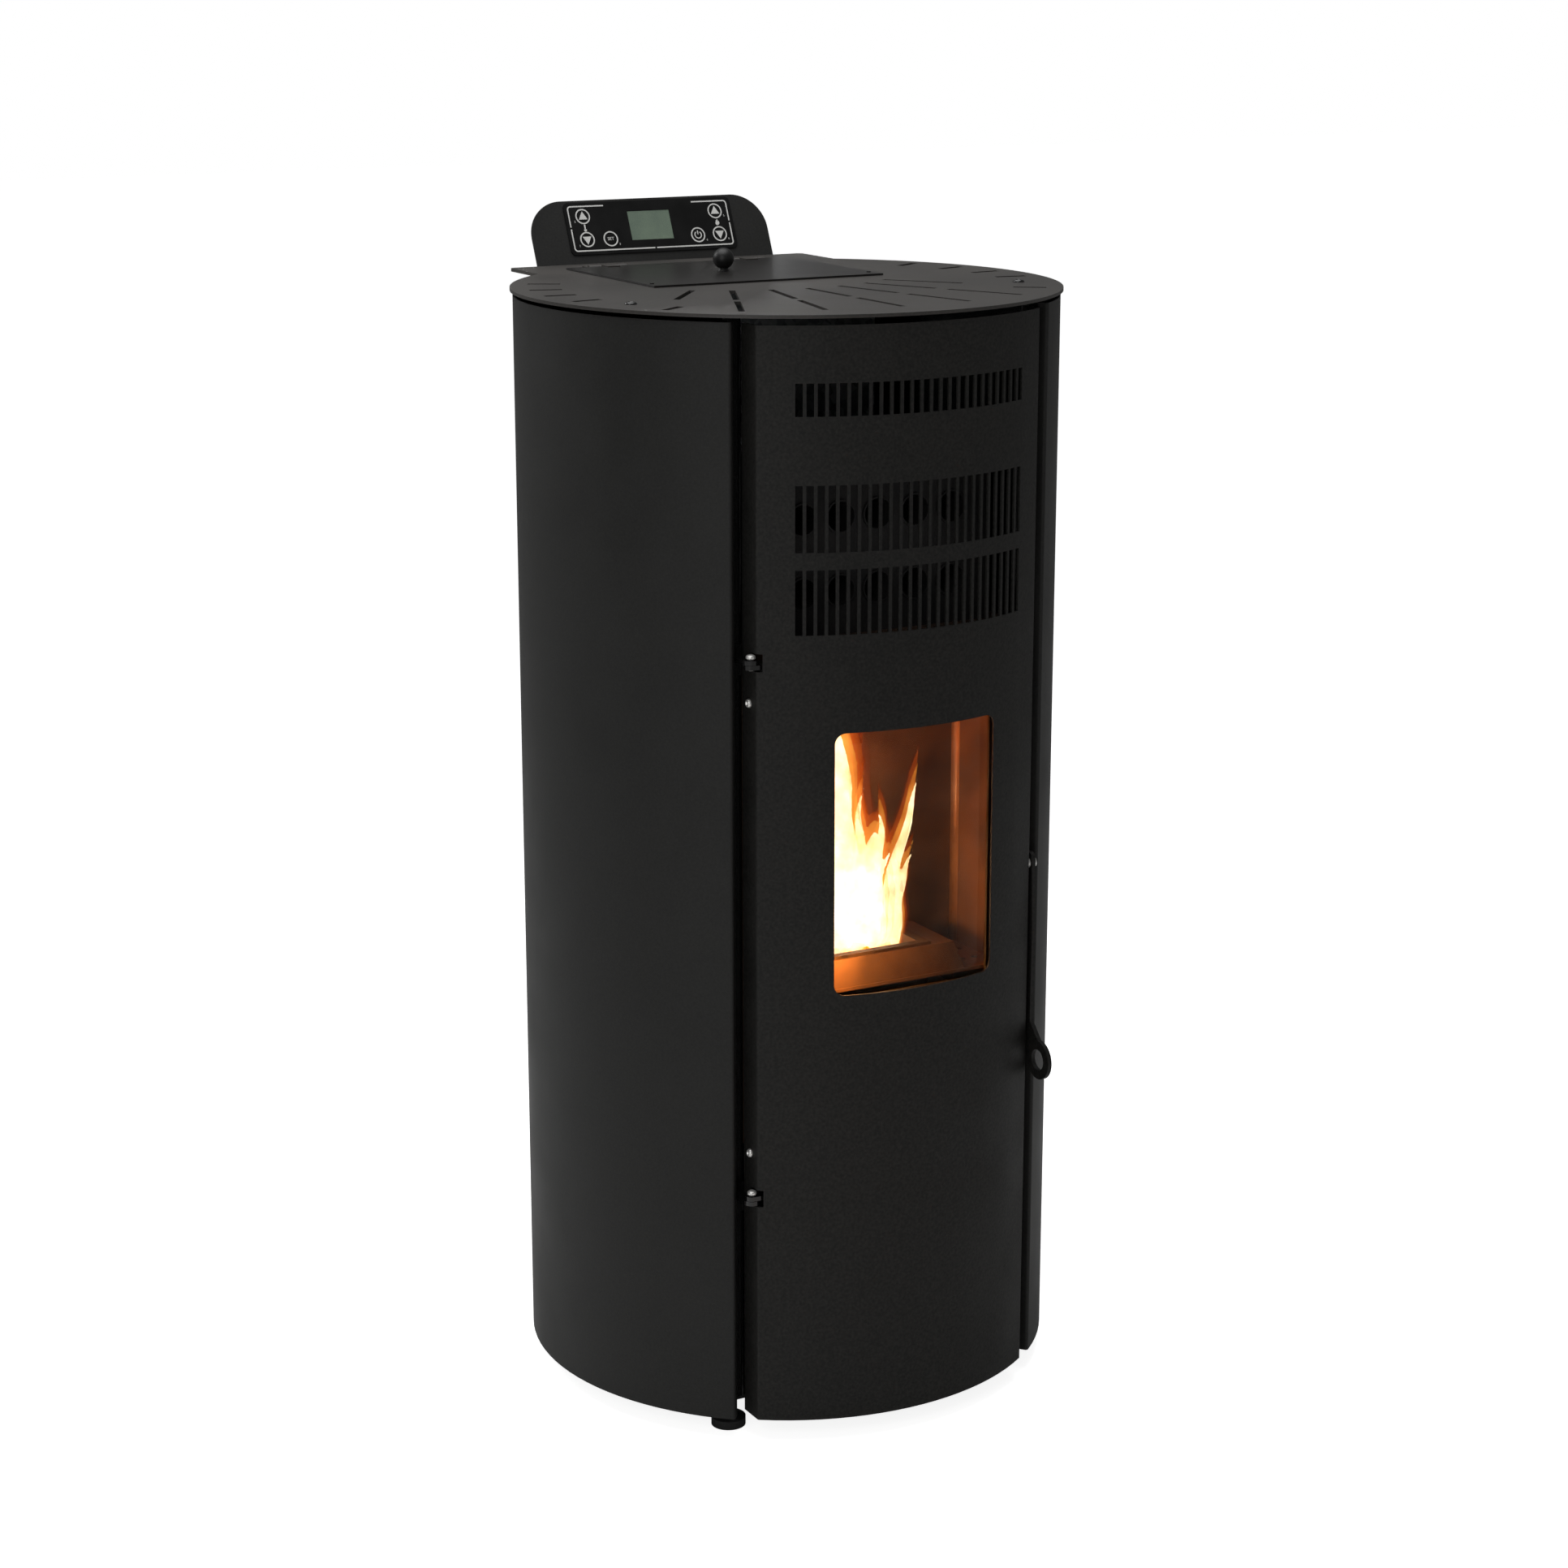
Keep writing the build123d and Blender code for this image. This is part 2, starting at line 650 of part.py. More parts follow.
def lid_knob():
    foot = (Align.CENTER, Align.CENTER, Align.MIN)
    stem = Cone(knob_stem_r + knob_foot, knob_stem_r, knob_stem_h, align=foot)
    ball = Pos(0, 0, knob_stem_h + knob_r - knob_sink) * Sphere(knob_r)
    return Pos(0, knob_y, lid_z + lid_t) * (stem + ball)


def lid_hinge_knuckles(on_lid):
    """The lid's middle knuckles with their leaves, or the plate's outer ones."""
    y, z = lid_axis()
    third = lid_hinge_w / 3
    pieces = []
    for x in (-lid_hinge_x, lid_hinge_x):
        spans = [(-third / 2 + run_gap, third / 2 - run_gap)]
        if not on_lid:
            spans = [(-lid_hinge_w / 2, -third / 2), (third / 2, lid_hinge_w / 2)]
        for a, b in spans:
            ring = rod((x + a, y, z), (x + b, y, z), lid_hinge_r)
            if on_lid:
                ring += block((x + a, x + b), (lid_back - lid_leaf, y), (lid_z + lid_t, z + lid_hinge_r))
            else:
                ring += block((x + a, x + b), (y, y + plate_leaf), (body_h, body_h + plate_leaf_t))
            ring -= rod((x + a - 1, y, z), (x + b + 1, y, z), lid_hinge_pin_r + shaft_gap)
            pieces.append(ring)
    return pieces


def lid_hinge_pins():
    y, z = lid_axis()
    half = lid_hinge_w / 2
    return [rod((x - half, y, z), (x + half, y, z), lid_hinge_pin_r) for x in (-lid_hinge_x, lid_hinge_x)]


def panel_plane():
    """Plane of the control panel's front face: X across, Y up the slope, Z out to the front."""
    normal = (0, -cos(radians(panel_tilt)), sin(radians(panel_tilt)))
    return Plane(origin=(0, tail_y, plate_z), x_dir=(1, 0, 0), z_dir=normal)


def control_panel_plate():
    plane = panel_plane()
    height = panel_slope_h + plate_t
    with BuildSketch() as face:
        with Locations((0, (height - panel_t) / 2)):
            Rectangle(panel_w, height + panel_t)
        fillet(face.vertices().group_by(Axis.Y)[-1], panel_corner_r)
    sheet = plane * extrude(face.sketch, -panel_t)
    fold_y = (tail_y - panel_fold, tail_y + panel_t / 2)
    fold = block((-panel_w / 2, panel_w / 2), fold_y, (plate_z - panel_t, plate_z))
    return sheet + fold


def display_bezel():
    face = RectangleRounded(bezel_w, bezel_h, bezel_corner_r)
    face -= Pos(*screen_off) * Rectangle(screen_w + 2 * run_gap, screen_h + 2 * run_gap)
    return panel_plane() * extrude(Pos(0, bezel_middle()) * face, bezel_t)


def bezel_middle():
    """Height of the bezel's middle up the control panel's slope."""
    return plate_t + bezel_up + bezel_h / 2


def lcd_screen():
    face = Pos(screen_off[0], bezel_middle() + screen_off[1]) * Rectangle(screen_w, screen_h)
    return panel_plane() * extrude(face, bezel_t - screen_down)


def display_casing():
    """Plastic box behind the control panel that holds the keypad's board."""
    case = Box(bezel_w - 2 * casing_in[0], bezel_h - 2 * casing_in[1], casing_d)
    case = fillet(case.edges().filter_by(Axis.Z), casing_corner_r)
    case = chamfer(case.faces().sort_by(Axis.Z)[0].edges(), casing_chamfer)
    return panel_plane() * (Pos(0, bezel_middle(), -panel_t - casing_d / 2) * case)


# ---- door

def door_skin():
    mid_r = body_r - door_t / 2
    x = door_x - door_t / 2
    y = -sqrt(mid_r ** 2 - x ** 2)
    arc = ThreePointArc((-x, y), (0, -mid_r), (x, y))
    rear = door_y + door_flange
    edges = [Line((-x, rear), (-x, y)).edge(), arc.edge(), Line((x, y), (x, rear)).edge()]
    skin = rise(sheet_plan(edges, door_t, [(-x, y), (x, y)]), door_z)
    half = body_r * sin(radians(window_half))
    z = sum(window_z) / 2
    opening = Plane.XZ * Pos(0, z) * RectangleRounded(2 * half, window_z[1] - window_z[0], window_corner_r)
    skin -= extrude(opening, body_r + past)
    skin -= grille_cuts()
    for z in (hinge_low_z - notch_under, hinge_high_z - notch_under):
        across, along = (pin_x - notch_half, pin_x + notch_half), (pin_y - notch_half, pin_y + notch_half)
        skin -= block(across, along, (z, z + notch_h))
    ends = [(x, latch_y, latch_z) for x in (door_x - past, door_x + past)]
    skin -= rod(*ends, latch_bolt_r + shaft_gap)
    return skin - screw_holes()


def grille_cuts():
    """All the slots of the three rows, as one group of cutters."""
    pitch = 2 * grille_half / (slot_count - bar_share)
    width = body_r * radians(pitch) * (1 - bar_share)
    rows = [(firebox_top + a, firebox_top + b) for a, b in slot_rows_over_box]
    rows.append((plate_z - slot_row_under_top[0], plate_z - slot_row_under_top[1]))
    cuts = []
    for low, high in rows:
        slot = block((-width / 2, width / 2), (-body_r - past, -body_r + past), (low, high))
        cuts += [Rot(0, 0, pitch * (i - (slot_count - 1) / 2)) * slot for i in range(slot_count)]
    return cuts


def door_inner_frame():
    """Pressed pan welded behind the skin: its flat back carries the sealing rope."""
    x = door_x - frame_inset
    z = frame_z()
    shell = rise(Circle(body_r - door_t), z) & block((-x, x), (-body_r, frame_y), z)
    inner = (z[0] + frame_wall_t, z[1] - frame_wall_t)
    shell -= block((-x + frame_wall_t, x - frame_wall_t), (-body_r, frame_y - frame_plate_t), inner)
    opening = (floor_z, firebox_top - mouth_head - frame_head)
    shell -= block((-frame_window_half, frame_window_half), (-body_r, front_y), opening)
    return shell


def frame_z():
    low, high = frame_over_mouth
    return (firebox_z + mouth_sill - low, firebox_top - mouth_head + high)


def door_gasket():
    """Rope seal, a closed ring of flattened round section between the frame and the firebox front."""
    z = frame_z()
    across = 2 * (mouth_half_w + rope_from_mouth) + rope_w
    along = z[1] - z[0] - 2 * rope_from_edge - rope_w
    outer = RectangleRounded(across + rope_w, along + rope_w, rope_corner_r + rope_w / 2)
    inner = RectangleRounded(across - rope_w, along - rope_w, rope_corner_r - rope_w / 2)
    ring = extrude(outer - inner, rope_w)
    ring = chamfer(ring.edges().group_by(Axis.Z)[0] + ring.edges().group_by(Axis.Z)[-1], rope_chamfer)
    return Pos(0, frame_y, sum(z) / 2) * Rot(-90, 0, 0) * ring


def glass_z():
    return (window_z[0] - glass_over_z, window_z[1] + glass_over_z)


def door_glass():
    outer = body_r - door_t - glass_gasket_t
    half = window_half + glass_over
    return round_sector(outer - glass_t, outer, (-half, half), glass_z())


def glass_gasket():
    half = window_half + glass_over
    outer = body_r - door_t
    ring = round_sector(outer - glass_gasket_t, outer, (-half, half), glass_z())
    inside = body_r * sin(radians(window_half)) + 2
    return ring - block((-inside, inside), (-body_r, 0), (window_z[0] - 2, window_z[1] + 2))


def glass_retainer():
    """Angle strip that holds one side of the glass against the skin."""
    skin = body_r - door_t
    seat = skin - glass_gasket_t - glass_t
    edge = window_half + glass_over
    inner, outer = edge + retainer_web[0], edge + retainer_web[1]
    clamp = round_sector(seat - retainer_t, seat, (edge - retainer_in, outer), glass_z())
    return clamp + round_sector(seat - hole_gap, skin, (inner, outer), glass_z())


def screw_y():
    return door_y + door_flange / 2


def screw_heights():
    return (hinge_low_z + bracket_screw_up[0], hinge_high_z + bracket_screw_up[1])


def screw_holes():
    """Holes for the hinge brackets' screws, through the door's fold and the tabs behind it."""
    ends = (-door_x - past, -door_x + past)
    y, radius = screw_y(), bracket_screw_r + 2 * hole_gap
    return [rod((ends[0], y, z), (ends[1], y, z), radius) for z in screw_heights()]


def hinge_steps(z):
    """Heights of a hinge's lower and upper plate."""
    return z, z + lug_t + run_gap


def door_hinge_bracket(low, direction):
    """Plate about the hinge pin, with a tab screwed inside the door's folded side."""
    tab_t, tab_h = bracket_tab
    reach = (pin_x - bracket_half, -door_x + door_t + tab_t)
    plate = block(reach, (pin_y - bracket_half, pin_y + bracket_half), (low, low + lug_t))
    plate = fillet(plate.edges().filter_by(Axis.Z).sort_by(Axis.X)[:2], bracket_corner_r)
    tab_x = -door_x + door_t
    tab_z = (low, low + lug_t + tab_h) if direction > 0 else (low - tab_h, low + lug_t)
    bracket = plate + block((tab_x, tab_x + tab_t), (pin_y - door_t, door_y + door_flange - door_t), tab_z)
    bracket -= rod((pin_x, pin_y, low - past), (pin_x, pin_y, low + past), hinge_pin_r + shaft_gap)
    return bracket - screw_holes()


def door_screws():
    screws = []
    for z in screw_heights():
        seat = (-door_x, screw_y(), z)
        shank = rod(seat, (-door_x + door_t + bracket_tab[0], screw_y(), z), bracket_screw_r)
        screws.append(button(seat, (-1, 0, 0), screw_head_r) + shank)
    return screws


def hinge_lug(z):
    """Arm on the chassis front flange that carries one hinge pin."""
    left, right = -channel_x(), -door_x - run_gap
    arm = block((left, right), (pin_y, front_y), (z, z + lug_t))
    eye = rod((pin_x, pin_y, z), (pin_x, pin_y, z + lug_t), hinge_pin_r + lug_eye)
    eye &= block((left, right + door_t), (pin_y - past, pin_y + past), (0, body_h))
    foot = block((left, right), (front_y - lug_foot[0], front_y), (z - lug_foot[1] / 2, z + lug_foot[1] / 2))
    bore = rod((pin_x, pin_y, z - past), (pin_x, pin_y, z + past), hinge_pin_r + shaft_gap)
    return arm + eye + foot - bore


def channel_x():
    """How far out a fitting may reach in the gap between the door and a side panel."""
    return on_round(body_r - skin_t / 2 - panel_flange, panel_front)[0] - skin_t / 2 - knuckle_gap


def hinge_pin(z):
    """Headed pin that stands in the lug and the bracket's eye."""
    top = hinge_steps(z)[1] + lug_t + pin_over
    radius, height = hinge_head
    shank = rod((pin_x, pin_y, z - pin_under), (pin_x, pin_y, top - height), hinge_pin_r)
    head = rod((pin_x, pin_y, top - height), (pin_x, pin_y, top), radius)
    return shank + chamfer(head.edges().group_by(Axis.Z)[-1], radius / 3)


# ---- latch

def latch_lever():
    """Flat lever in the gap beside the door: a hook at the top and a finger ring at the bottom."""
    y, z = latch_y, latch_z
    ring_y, ring_z = y - ring_forward, z - ring_drop
    throat = y + stud_back + stud_r + hook_throat
    hook = throat + hook_t
    with BuildSketch(Plane.YZ) as outline:
        with BuildLine():
            Polyline(
                (y - lever_head_r, z + lever_head_up), (y + lever_head_r, z + lever_head_up),
                (y + lever_head_r, z - hook_under), (throat, z - hook_under), (throat, z + stud_r),
                (hook, z + stud_r), (hook, z - hook_h), (y + 4, z - 2 * hook_h),
                (y + 1, ring_z + 30), (ring_y + 12, ring_z - 8),
                (ring_y - 10, ring_z + 8), (y - 8, ring_z + 34), (y - 9, z - 5 * hook_h),
                close=True,
            )
        make_face()
        with Locations((y, z + lever_head_up)):
            Circle(lever_head_r)
        with Locations((ring_y, ring_z)):
            Circle(ring_r)
            Circle(ring_hole_r, mode=Mode.SUBTRACT)
        with Locations((y, z)):
            Circle(latch_bolt_r + shaft_gap, mode=Mode.SUBTRACT)
    return Pos(lever_x, 0, 0) * extrude(outline.sketch, lever_t)


def latch_bolt():
    """Shouldered bolt through the door's folded side that the lever turns on."""
    y, z = latch_y, latch_z
    nut_r, nut_h = latch_nut
    inside, outside = door_x - door_t, lever_x + lever_t + run_gap
    bolt = rod((inside - nut_h, y, z), (outside, y, z), latch_bolt_r)
    bolt += rod((inside - nut_h, y, z), (inside, y, z), latch_bolt_r + nut_r)
    bolt += rod((door_x, y, z), (lever_x - run_gap, y, z), latch_bolt_r + latch_shoulder)
    return bolt + button((outside, y, z), (1, 0, 0), latch_bolt_r + latch_shoulder)


def latch_stud():
    """Catch pin on a small angle bracket fixed to the chassis front flange."""
    y = latch_y + stud_back
    low = door_x + 2 * run_gap
    tab_t, under, over = stud_tab
    tab = block((low, low + tab_t), (y - stud_r - 1, front_y), (latch_z - under, latch_z + over))
    foot = block((low, channel_x()), (front_y - door_t, front_y), (latch_z + under, latch_z + over))
    end = lever_x + lever_t + knuckle_gap + run_gap
    return tab + foot + rod((low, y, latch_z), (end, y, latch_z), stud_r)


# ---- firebox, burn pot and ash drawer

def firebox():
    """Welded box with its wide front plate, which closes the body between the chassis sides."""
    out = box_in + box_wall
    z = (firebox_z, firebox_top)
    shell = block((-out, out), (front_y, box_back + box_wall), z)
    shell -= block((-box_in, box_in), (front_y + box_wall, box_back), (z[0] + box_wall, z[1] - box_wall))
    low, high = frame_z()
    front_z = (low - front_past_frame, high + front_past_frame)
    shell += block((-chassis_in, chassis_in), (front_y, front_y + box_wall), front_z)
    mouth_z = (z[0] + mouth_sill, z[1] - mouth_head)
    shell -= block((-mouth_half_w, mouth_half_w), (-body_r, front_y + box_wall), mouth_z)
    rear = (box_back - past / 2, box_back + past)
    x = chute_half_w - chute_hole[0]
    shell -= block((-x, x), rear, (auger_top[1] - chute_hole[1], auger_top[1] + chute_hole[2]))
    x, y = exchanger_half_w - smoke_hole_in[0], (front_y + smoke_hole_in[1], box_back - smoke_hole_in[1])
    shell -= block((-x, x), y, (firebox_top - past, firebox_top + past))
    shell -= rod((0, rear[0], igniter_z()), (0, rear[1], igniter_z()), igniter_bore)
    return shell - rod((intake_x, rear[0], intake_z), (intake_x, rear[1], intake_z), intake_r - intake_wall)


def firebox_floor():
    """Plate over the ash compartment, with the burn pot's hole and small ash holes beside it."""
    x = box_in - 2 * hole_gap
    y = (front_y + box_wall + 2 * hole_gap, box_back - 2 * hole_gap)
    plate = block((-x, x), y, (floor_z, floor_z + floor_t))
    x, y = pot_w / 2 + floor_pot_gap, pot_d / 2 + floor_pot_gap
    plate -= block((-x, x), (pot_y() - y, pot_y() + y), (0, body_h))
    for side in (-1, 1):
        for row in (-0.5, 0.5):
            for column in range(2):
                x = side * (stand_half_w[0] + ash_hole_in + ash_hole_pitch[0] * column)
                y = pot_y() + ash_hole_pitch[1] * row
                plate -= rod((x, y, floor_z - past), (x, y, floor_z + past), ash_hole_r)
    return plate


def pot_y():
    return (front_y + box_wall + box_back) / 2 - pot_in_box


def pot_stand():
    """Sloped stand on the firebox floor that frames the burn pot."""
    low, high = floor_z + floor_t, pot_z

    def pan(inset):
        rings = []
        for z, half_w, over in zip((low, high), stand_half_w, stand_over_pot):
            outline = Rectangle(2 * (half_w - inset), pot_d + 2 * over - 2 * inset)
            rings.append((Pos(0, pot_y(), z) * outline).face())
        return loft(rings)

    stand = pan(0) - Pos(0, 0, -stand_wall) * pan(stand_wall)
    x, y = (pot_w + floor_pot_gap) / 2, (pot_d + floor_pot_gap) / 2
    stand -= block((-x, x), (pot_y() - y, pot_y() + y), (low, high + past))
    return stand - rod((0, pot_y(), igniter_z()), (0, box_back, igniter_z()), igniter_bore)


def burn_pot():
    x, y = pot_w / 2, pot_d / 2
    low = pot_z - pot_h
    at = pot_y()
    pot = block((-x, x), (at - y, at + y), (low, pot_z))
    pot = fillet(pot.edges().filter_by(Axis.Z), pot_corner_r)
    rim_x, rim_y = x + pot_rim[0], y + pot_rim[1]
    pot += block((-rim_x, rim_x), (at - rim_y, at + rim_y), (pot_z, pot_z + pot_wall))
    cup_x, cup_y = x - pot_wall, y - pot_wall
    pot -= block((-cup_x, cup_x), (at - cup_y, at + cup_y), (low + pot_wall, pot_z + past))
    start, end, width = pot_slot
    for row in range(pot_slot_rows):
        slot_y = at + pot_slot_pitch * (row - (pot_slot_rows - 1) / 2)
        for slot_x in ((-end, -start), (start, end)):
            pot -= block(slot_x, (slot_y - width / 2, slot_y + width / 2), (low - past, low + past))
    ends = [(0, at + y + reach, igniter_z()) for reach in (-past, past)]
    return pot - rod(*ends, igniter_r - 2 * hole_gap)


def igniter_z():
    return pot_z - igniter_drop


def igniter():
    """Heating rod in its sleeve, through the firebox's back wall up to the burn pot."""
    y, z = pot_y() + pot_d / 2 + knuckle_gap, igniter_z()
    rear = box_back + box_wall
    sleeve = tube((0, y, z), (0, rear + igniter_reach[0], z), igniter_sleeve_r, igniter_sleeve_wall)
    collar_wall = igniter_collar_r - igniter_sleeve_r + hole_gap / 2
    collar = tube((0, rear, z), (0, rear + igniter_collar_t, z), igniter_collar_r, collar_wall)
    end = min(rear + igniter_reach[1], under_auger(z + igniter_r) - igniter_gap)
    heater = rod((0, y + igniter_collar_t, z), (0, end, z), igniter_r)
    return sleeve + collar, heater


def under_auger(z):
    """How far back the auger tube's underside is at a height."""
    return sum(auger_top) - sqrt(2) * (auger_r + auger_tube_wall) - z


def ash_drawer():
    low = firebox_z + box_wall + run_gap
    y = (front_y + drawer_in[0], box_back - drawer_in[1])
    x = drawer_half_w
    w = drawer_wall
    tray = block((-x, x), y, (low, low + drawer_h))
    tray -= block((-x + w, x - w), (y[0] + w, y[1] - w), (low + w, body_h))
    grip = Plane.XZ * Pos(0, low + drawer_h * 0.6) * RectangleRounded(*drawer_grip[:2], drawer_grip[1] * 0.46)
    return tray + Pos(0, y[0] + 1, 0) * extrude(grip, drawer_grip[2])


# ---- heat exchanger and smoke path

def exchanger_y():
    return (front_y + exchanger_front, box_back + box_wall)


def exchanger_shell():
    """Smoke box over the firebox: front and rear tube plates, sides and roof."""
    low, high = firebox_top, firebox_top + exchanger_h
    x = exchanger_half_w
    y = exchanger_y()
    w = box_wall
    box = block((-x, x), y, (low, high))
    box -= block((-x + w, x - w), (y[0] + w, y[1] - w), (low - past, high - w))
    for at_x, at_z in tube_places():
        box -= rod((at_x, -body_r, at_z), (at_x, body_r, at_z), tube_r + shaft_gap)
    port_z = (low + smoke_port[0], low + smoke_port[1])
    return box - block((smoke_duct_x[0] + smoke_port_in, x - box_wall), (y[1] - past, y[1] + past), port_z)


def tube_places():
    columns = [tube_pitch * (i - (tube_columns - 1) / 2) for i in range(tube_columns)]
    return [(x, firebox_top + z) for x in columns for z in tube_rows_over_box]


def exchanger_tubes():
    y = exchanger_y()
    ends = (y[0] - tube_ends[0], y[1] - tube_ends[1])
    return [tube((x, ends[0], z), (x, ends[1], z), tube_r, tube_wall) for x, z in tube_places()]


def duct(parts, openings):
    """Hollow sheet duct from boxes that join, less the boxes of its openings."""
    wall = duct_wall
    outer, inner = None, None
    for x, y, z in parts:
        box = block(x, y, z)
        hollow = block((x[0] + wall, x[1] - wall), (y[0] + wall, y[1] - wall), (z[0] + wall, z[1] - wall))
        outer = box if outer is None else outer + box
        inner = hollow if inner is None else inner + hollow
    shell = outer - inner
    for x, y, z in openings:
        shell -= block(x, y, z)
    return shell


def air_duct():
    """Riser from the room fan, and the plenum behind the exchanger's rear tube plate."""
    low = room_fan_z + room_outlet
    top = firebox_top + exchanger_h
    plenum_x = (riser_x[0], smoke_duct_x[0] - duct_gap)
    parts = [(riser_x, duct_y, (low, top)), (plenum_x, duct_y, (firebox_top, top))]
    w = duct_wall
    inside_x, inside_y = (riser_x[0] + w, riser_x[1] - w), (duct_y[0] + w, duct_y[1] - w)
    front_x = (plenum_x[0] + plenum_hole[0], plenum_x[1] - plenum_hole[1])
    front_z = (firebox_top + plenum_hole[2], top - plenum_hole[2])
    openings = [
        (front_x, (duct_y[0] - past, duct_y[0] + 2 * w), front_z),
        (inside_x, inside_y, (low - past, low + past)),
        (inside_x, inside_y, (firebox_top - past, firebox_top + past)),
    ]
    return duct(parts, openings)


def smoke_duct():
    """Smoke passage from the exchanger down to the side of the smoke fan."""
    low, high = smoke_fan_z - smoke_duct_foot, smoke_fan_z + smoke_duct_foot
    x = smoke_duct_x
    side_x = (smoke_scroll_x[1] + hole_gap, x[1])
    y_end = smoke_fan_y + smoke_duct_foot
    parts = [(x, duct_y, (low, firebox_top + smoke_duct_head)), (side_x, (duct_y[0], y_end), (low, high))]
    w = duct_wall
    port_z = (firebox_top + smoke_port[0], firebox_top + smoke_port[1])
    openings = [
        ((side_x[0] + w, x[1] - w), (duct_y[1] - past, duct_y[1] + past), (low + w, high - w)),
        ((x[0] + w, exchanger_half_w - box_wall), (duct_y[0] - past, duct_y[0] + 2 * w), port_z),
    ]
    ends = [(side_x[0] + reach, smoke_fan_y, smoke_fan_z) for reach in (-past, past)]
    return duct(parts, openings) - rod(*ends, smoke_eye_r)


def scroll_face(start_r, step, outlet_w, outlet_len):
    """Fan scroll outline: four quarter turns, each one a step larger, and a straight outlet along +Y."""
    centres = [(0, 0), (0, -step), (step, -step), (step, 0)]
    arcs = [CenterArc(centres[i], start_r + step * i, 90 * i, 90).edge() for i in range(4)]
    closing = Line(arcs[3] @ 1, arcs[0] @ 0).edge()
    snail = make_face(Wire(arcs + [closing]))
    outer = start_r + 4 * step
    return snail + Pos(outer - outlet_w / 2, outlet_len / 2) * Rectangle(outlet_w, outlet_len)


def scroll_case(start_r, step, width, outlet_w, outlet_len, eyes):
    """Hollow scroll of the given width about Z, with inlet eyes at the named ends."""
    face = scroll_face(start_r, step, outlet_w, outlet_len)
    inner = scroll_face(start_r - duct_wall, step, outlet_w - 2 * duct_wall, outlet_len + past)
    case = extrude(face, width) - Pos(0, 0, duct_wall) * extrude(inner, width - 2 * duct_wall)
    for z in eyes:
        case -= Pos(0, 0, z) * Cylinder(start_r * eye_share, 4 * duct_wall)
    return case


def wheel(radius, width, shaft_len):
    """Centrifugal wheel about Z: a back disc, a front ring, leaning blades between them and a hub."""
    foot = (Align.CENTER, Align.CENTER, Align.MIN)
    disc = Cylinder(radius, wheel_disc_t, align=foot)
    eye_r = radius * (1 - blade_share)
    ring = Pos(0, 0, width - wheel_disc_t) * (disc - Cylinder(eye_r, past))
    hub = Pos(0, 0, -shaft_len) * Cylinder(wheel_hub_r, shaft_len + width * hub_share, align=foot)
    inner, outer = eye_r + blade_t, radius - blade_t
    points = [(inner, 0), (inner, blade_t), (outer, blade_lean + blade_t), (outer, blade_lean)]
    blade = extrude(make_face(Polyline(*points, close=True)), width - wheel_disc_t / 2)
    blades = [Rot(0, 0, 360 / blade_count * i) * blade for i in range(blade_count)]
    return disc + ring + hub + blades


def flue_place():
    """Centre of the flue stub in x and z, in line with the smoke fan's outlet."""
    reach = smoke_scroll_r + 4 * smoke_scroll_step
    return sum(smoke_scroll_x) / 2, smoke_fan_z - reach + smoke_outlet_h() / 2


def smoke_outlet_h():
    """Height of the smoke fan's outlet, a share of its scroll."""
    return smoke_scroll_r * smoke_outlet_share


def flue_bore():
    x, z = flue_place()
    return rod((x, 0, z), (x, flue_end, z), flue_r + 1)


def smoke_plane():
    """Scroll plane for the smoke fan: local Z along +X, local +Y to the rear, local +X down."""
    return Plane(origin=(smoke_scroll_x[0], smoke_fan_y, smoke_fan_z), x_dir=(0, 0, -1), z_dir=(1, 0, 0))


def smoke_fan_case():
    """Scroll that stands on the base plate, open to the smoke duct on its right side."""
    width = smoke_scroll_w
    case = scroll_case(smoke_scroll_r, smoke_scroll_step, width, smoke_outlet_h(), smoke_outlet_len, (width,))
    case = smoke_plane() * (case - Cylinder(wheel_hub_r + 2, past))
    x = (smoke_scroll_x[0] + fan_foot_w, smoke_scroll_x[1] - fan_foot_w)
    low = smoke_fan_z - smoke_scroll_r - 4 * smoke_scroll_step
    for y in (smoke_fan_y + fan_foot_w, smoke_outlet_y() - 2 * fan_foot_w):
        case += block(x, (y, y + fan_foot_w), (sheet_z, low + fan_foot_sink))
    return case


def smoke_outlet_y():
    return smoke_fan_y + smoke_outlet_len


def flue_outlet():
    """Transition from the fan's square outlet to the round flue stub."""
    x, z = flue_place()
    start, end = smoke_outlet_y() + 2 * hole_gap, smoke_outlet_y() + flue_taper
    height = smoke_outlet_h()

    def bore(inset):
        outline = RectangleRounded(smoke_scroll_w - 2 * inset, height - 2 * inset, flue_corner_r)
        square = Plane.XZ.offset(-start) * Pos(x, z) * outline
        circle = Plane.XZ.offset(-end) * Pos(x, z) * Circle(flue_r - flue_step - inset)
        return loft([square.face(), circle.face()])

    stub = back_y + flue_stub_from
    shell = bore(0) - bore(flue_wall)
    shell += tube((x, end, z), (x, stub, z), flue_r - flue_step, flue_wall)
    return shell + tube((x, stub, z), (x, flue_end, z), flue_r, flue_wall + flue_step)


def motor(length):
    """Shaded-pole motor about Z: laminated block, coil and bearing bell."""
    core = Pos(0, 0, length / 2) * Box(2 * motor_r, 2 * motor_r, length * motor_core_share)
    core = fillet(core.edges().filter_by(Axis.Z), motor_corner_r)
    return core + Cylinder(motor_bell_r, length, align=(Align.CENTER, Align.CENTER, Align.MIN))


def smoke_fan_motor():
    plane = smoke_plane()
    body = Pos(0, 0, -motor_len - 2 * hole_gap) * motor(motor_len)
    return plane * (body - Cylinder(wheel_hub_r + 2 * hole_gap, 2 * smoke_shaft))


def smoke_impeller():
    inset, less = smoke_wheel_gap
    return smoke_plane() * Pos(0, 0, inset) * wheel(smoke_wheel_r, smoke_scroll_w - less, smoke_shaft)


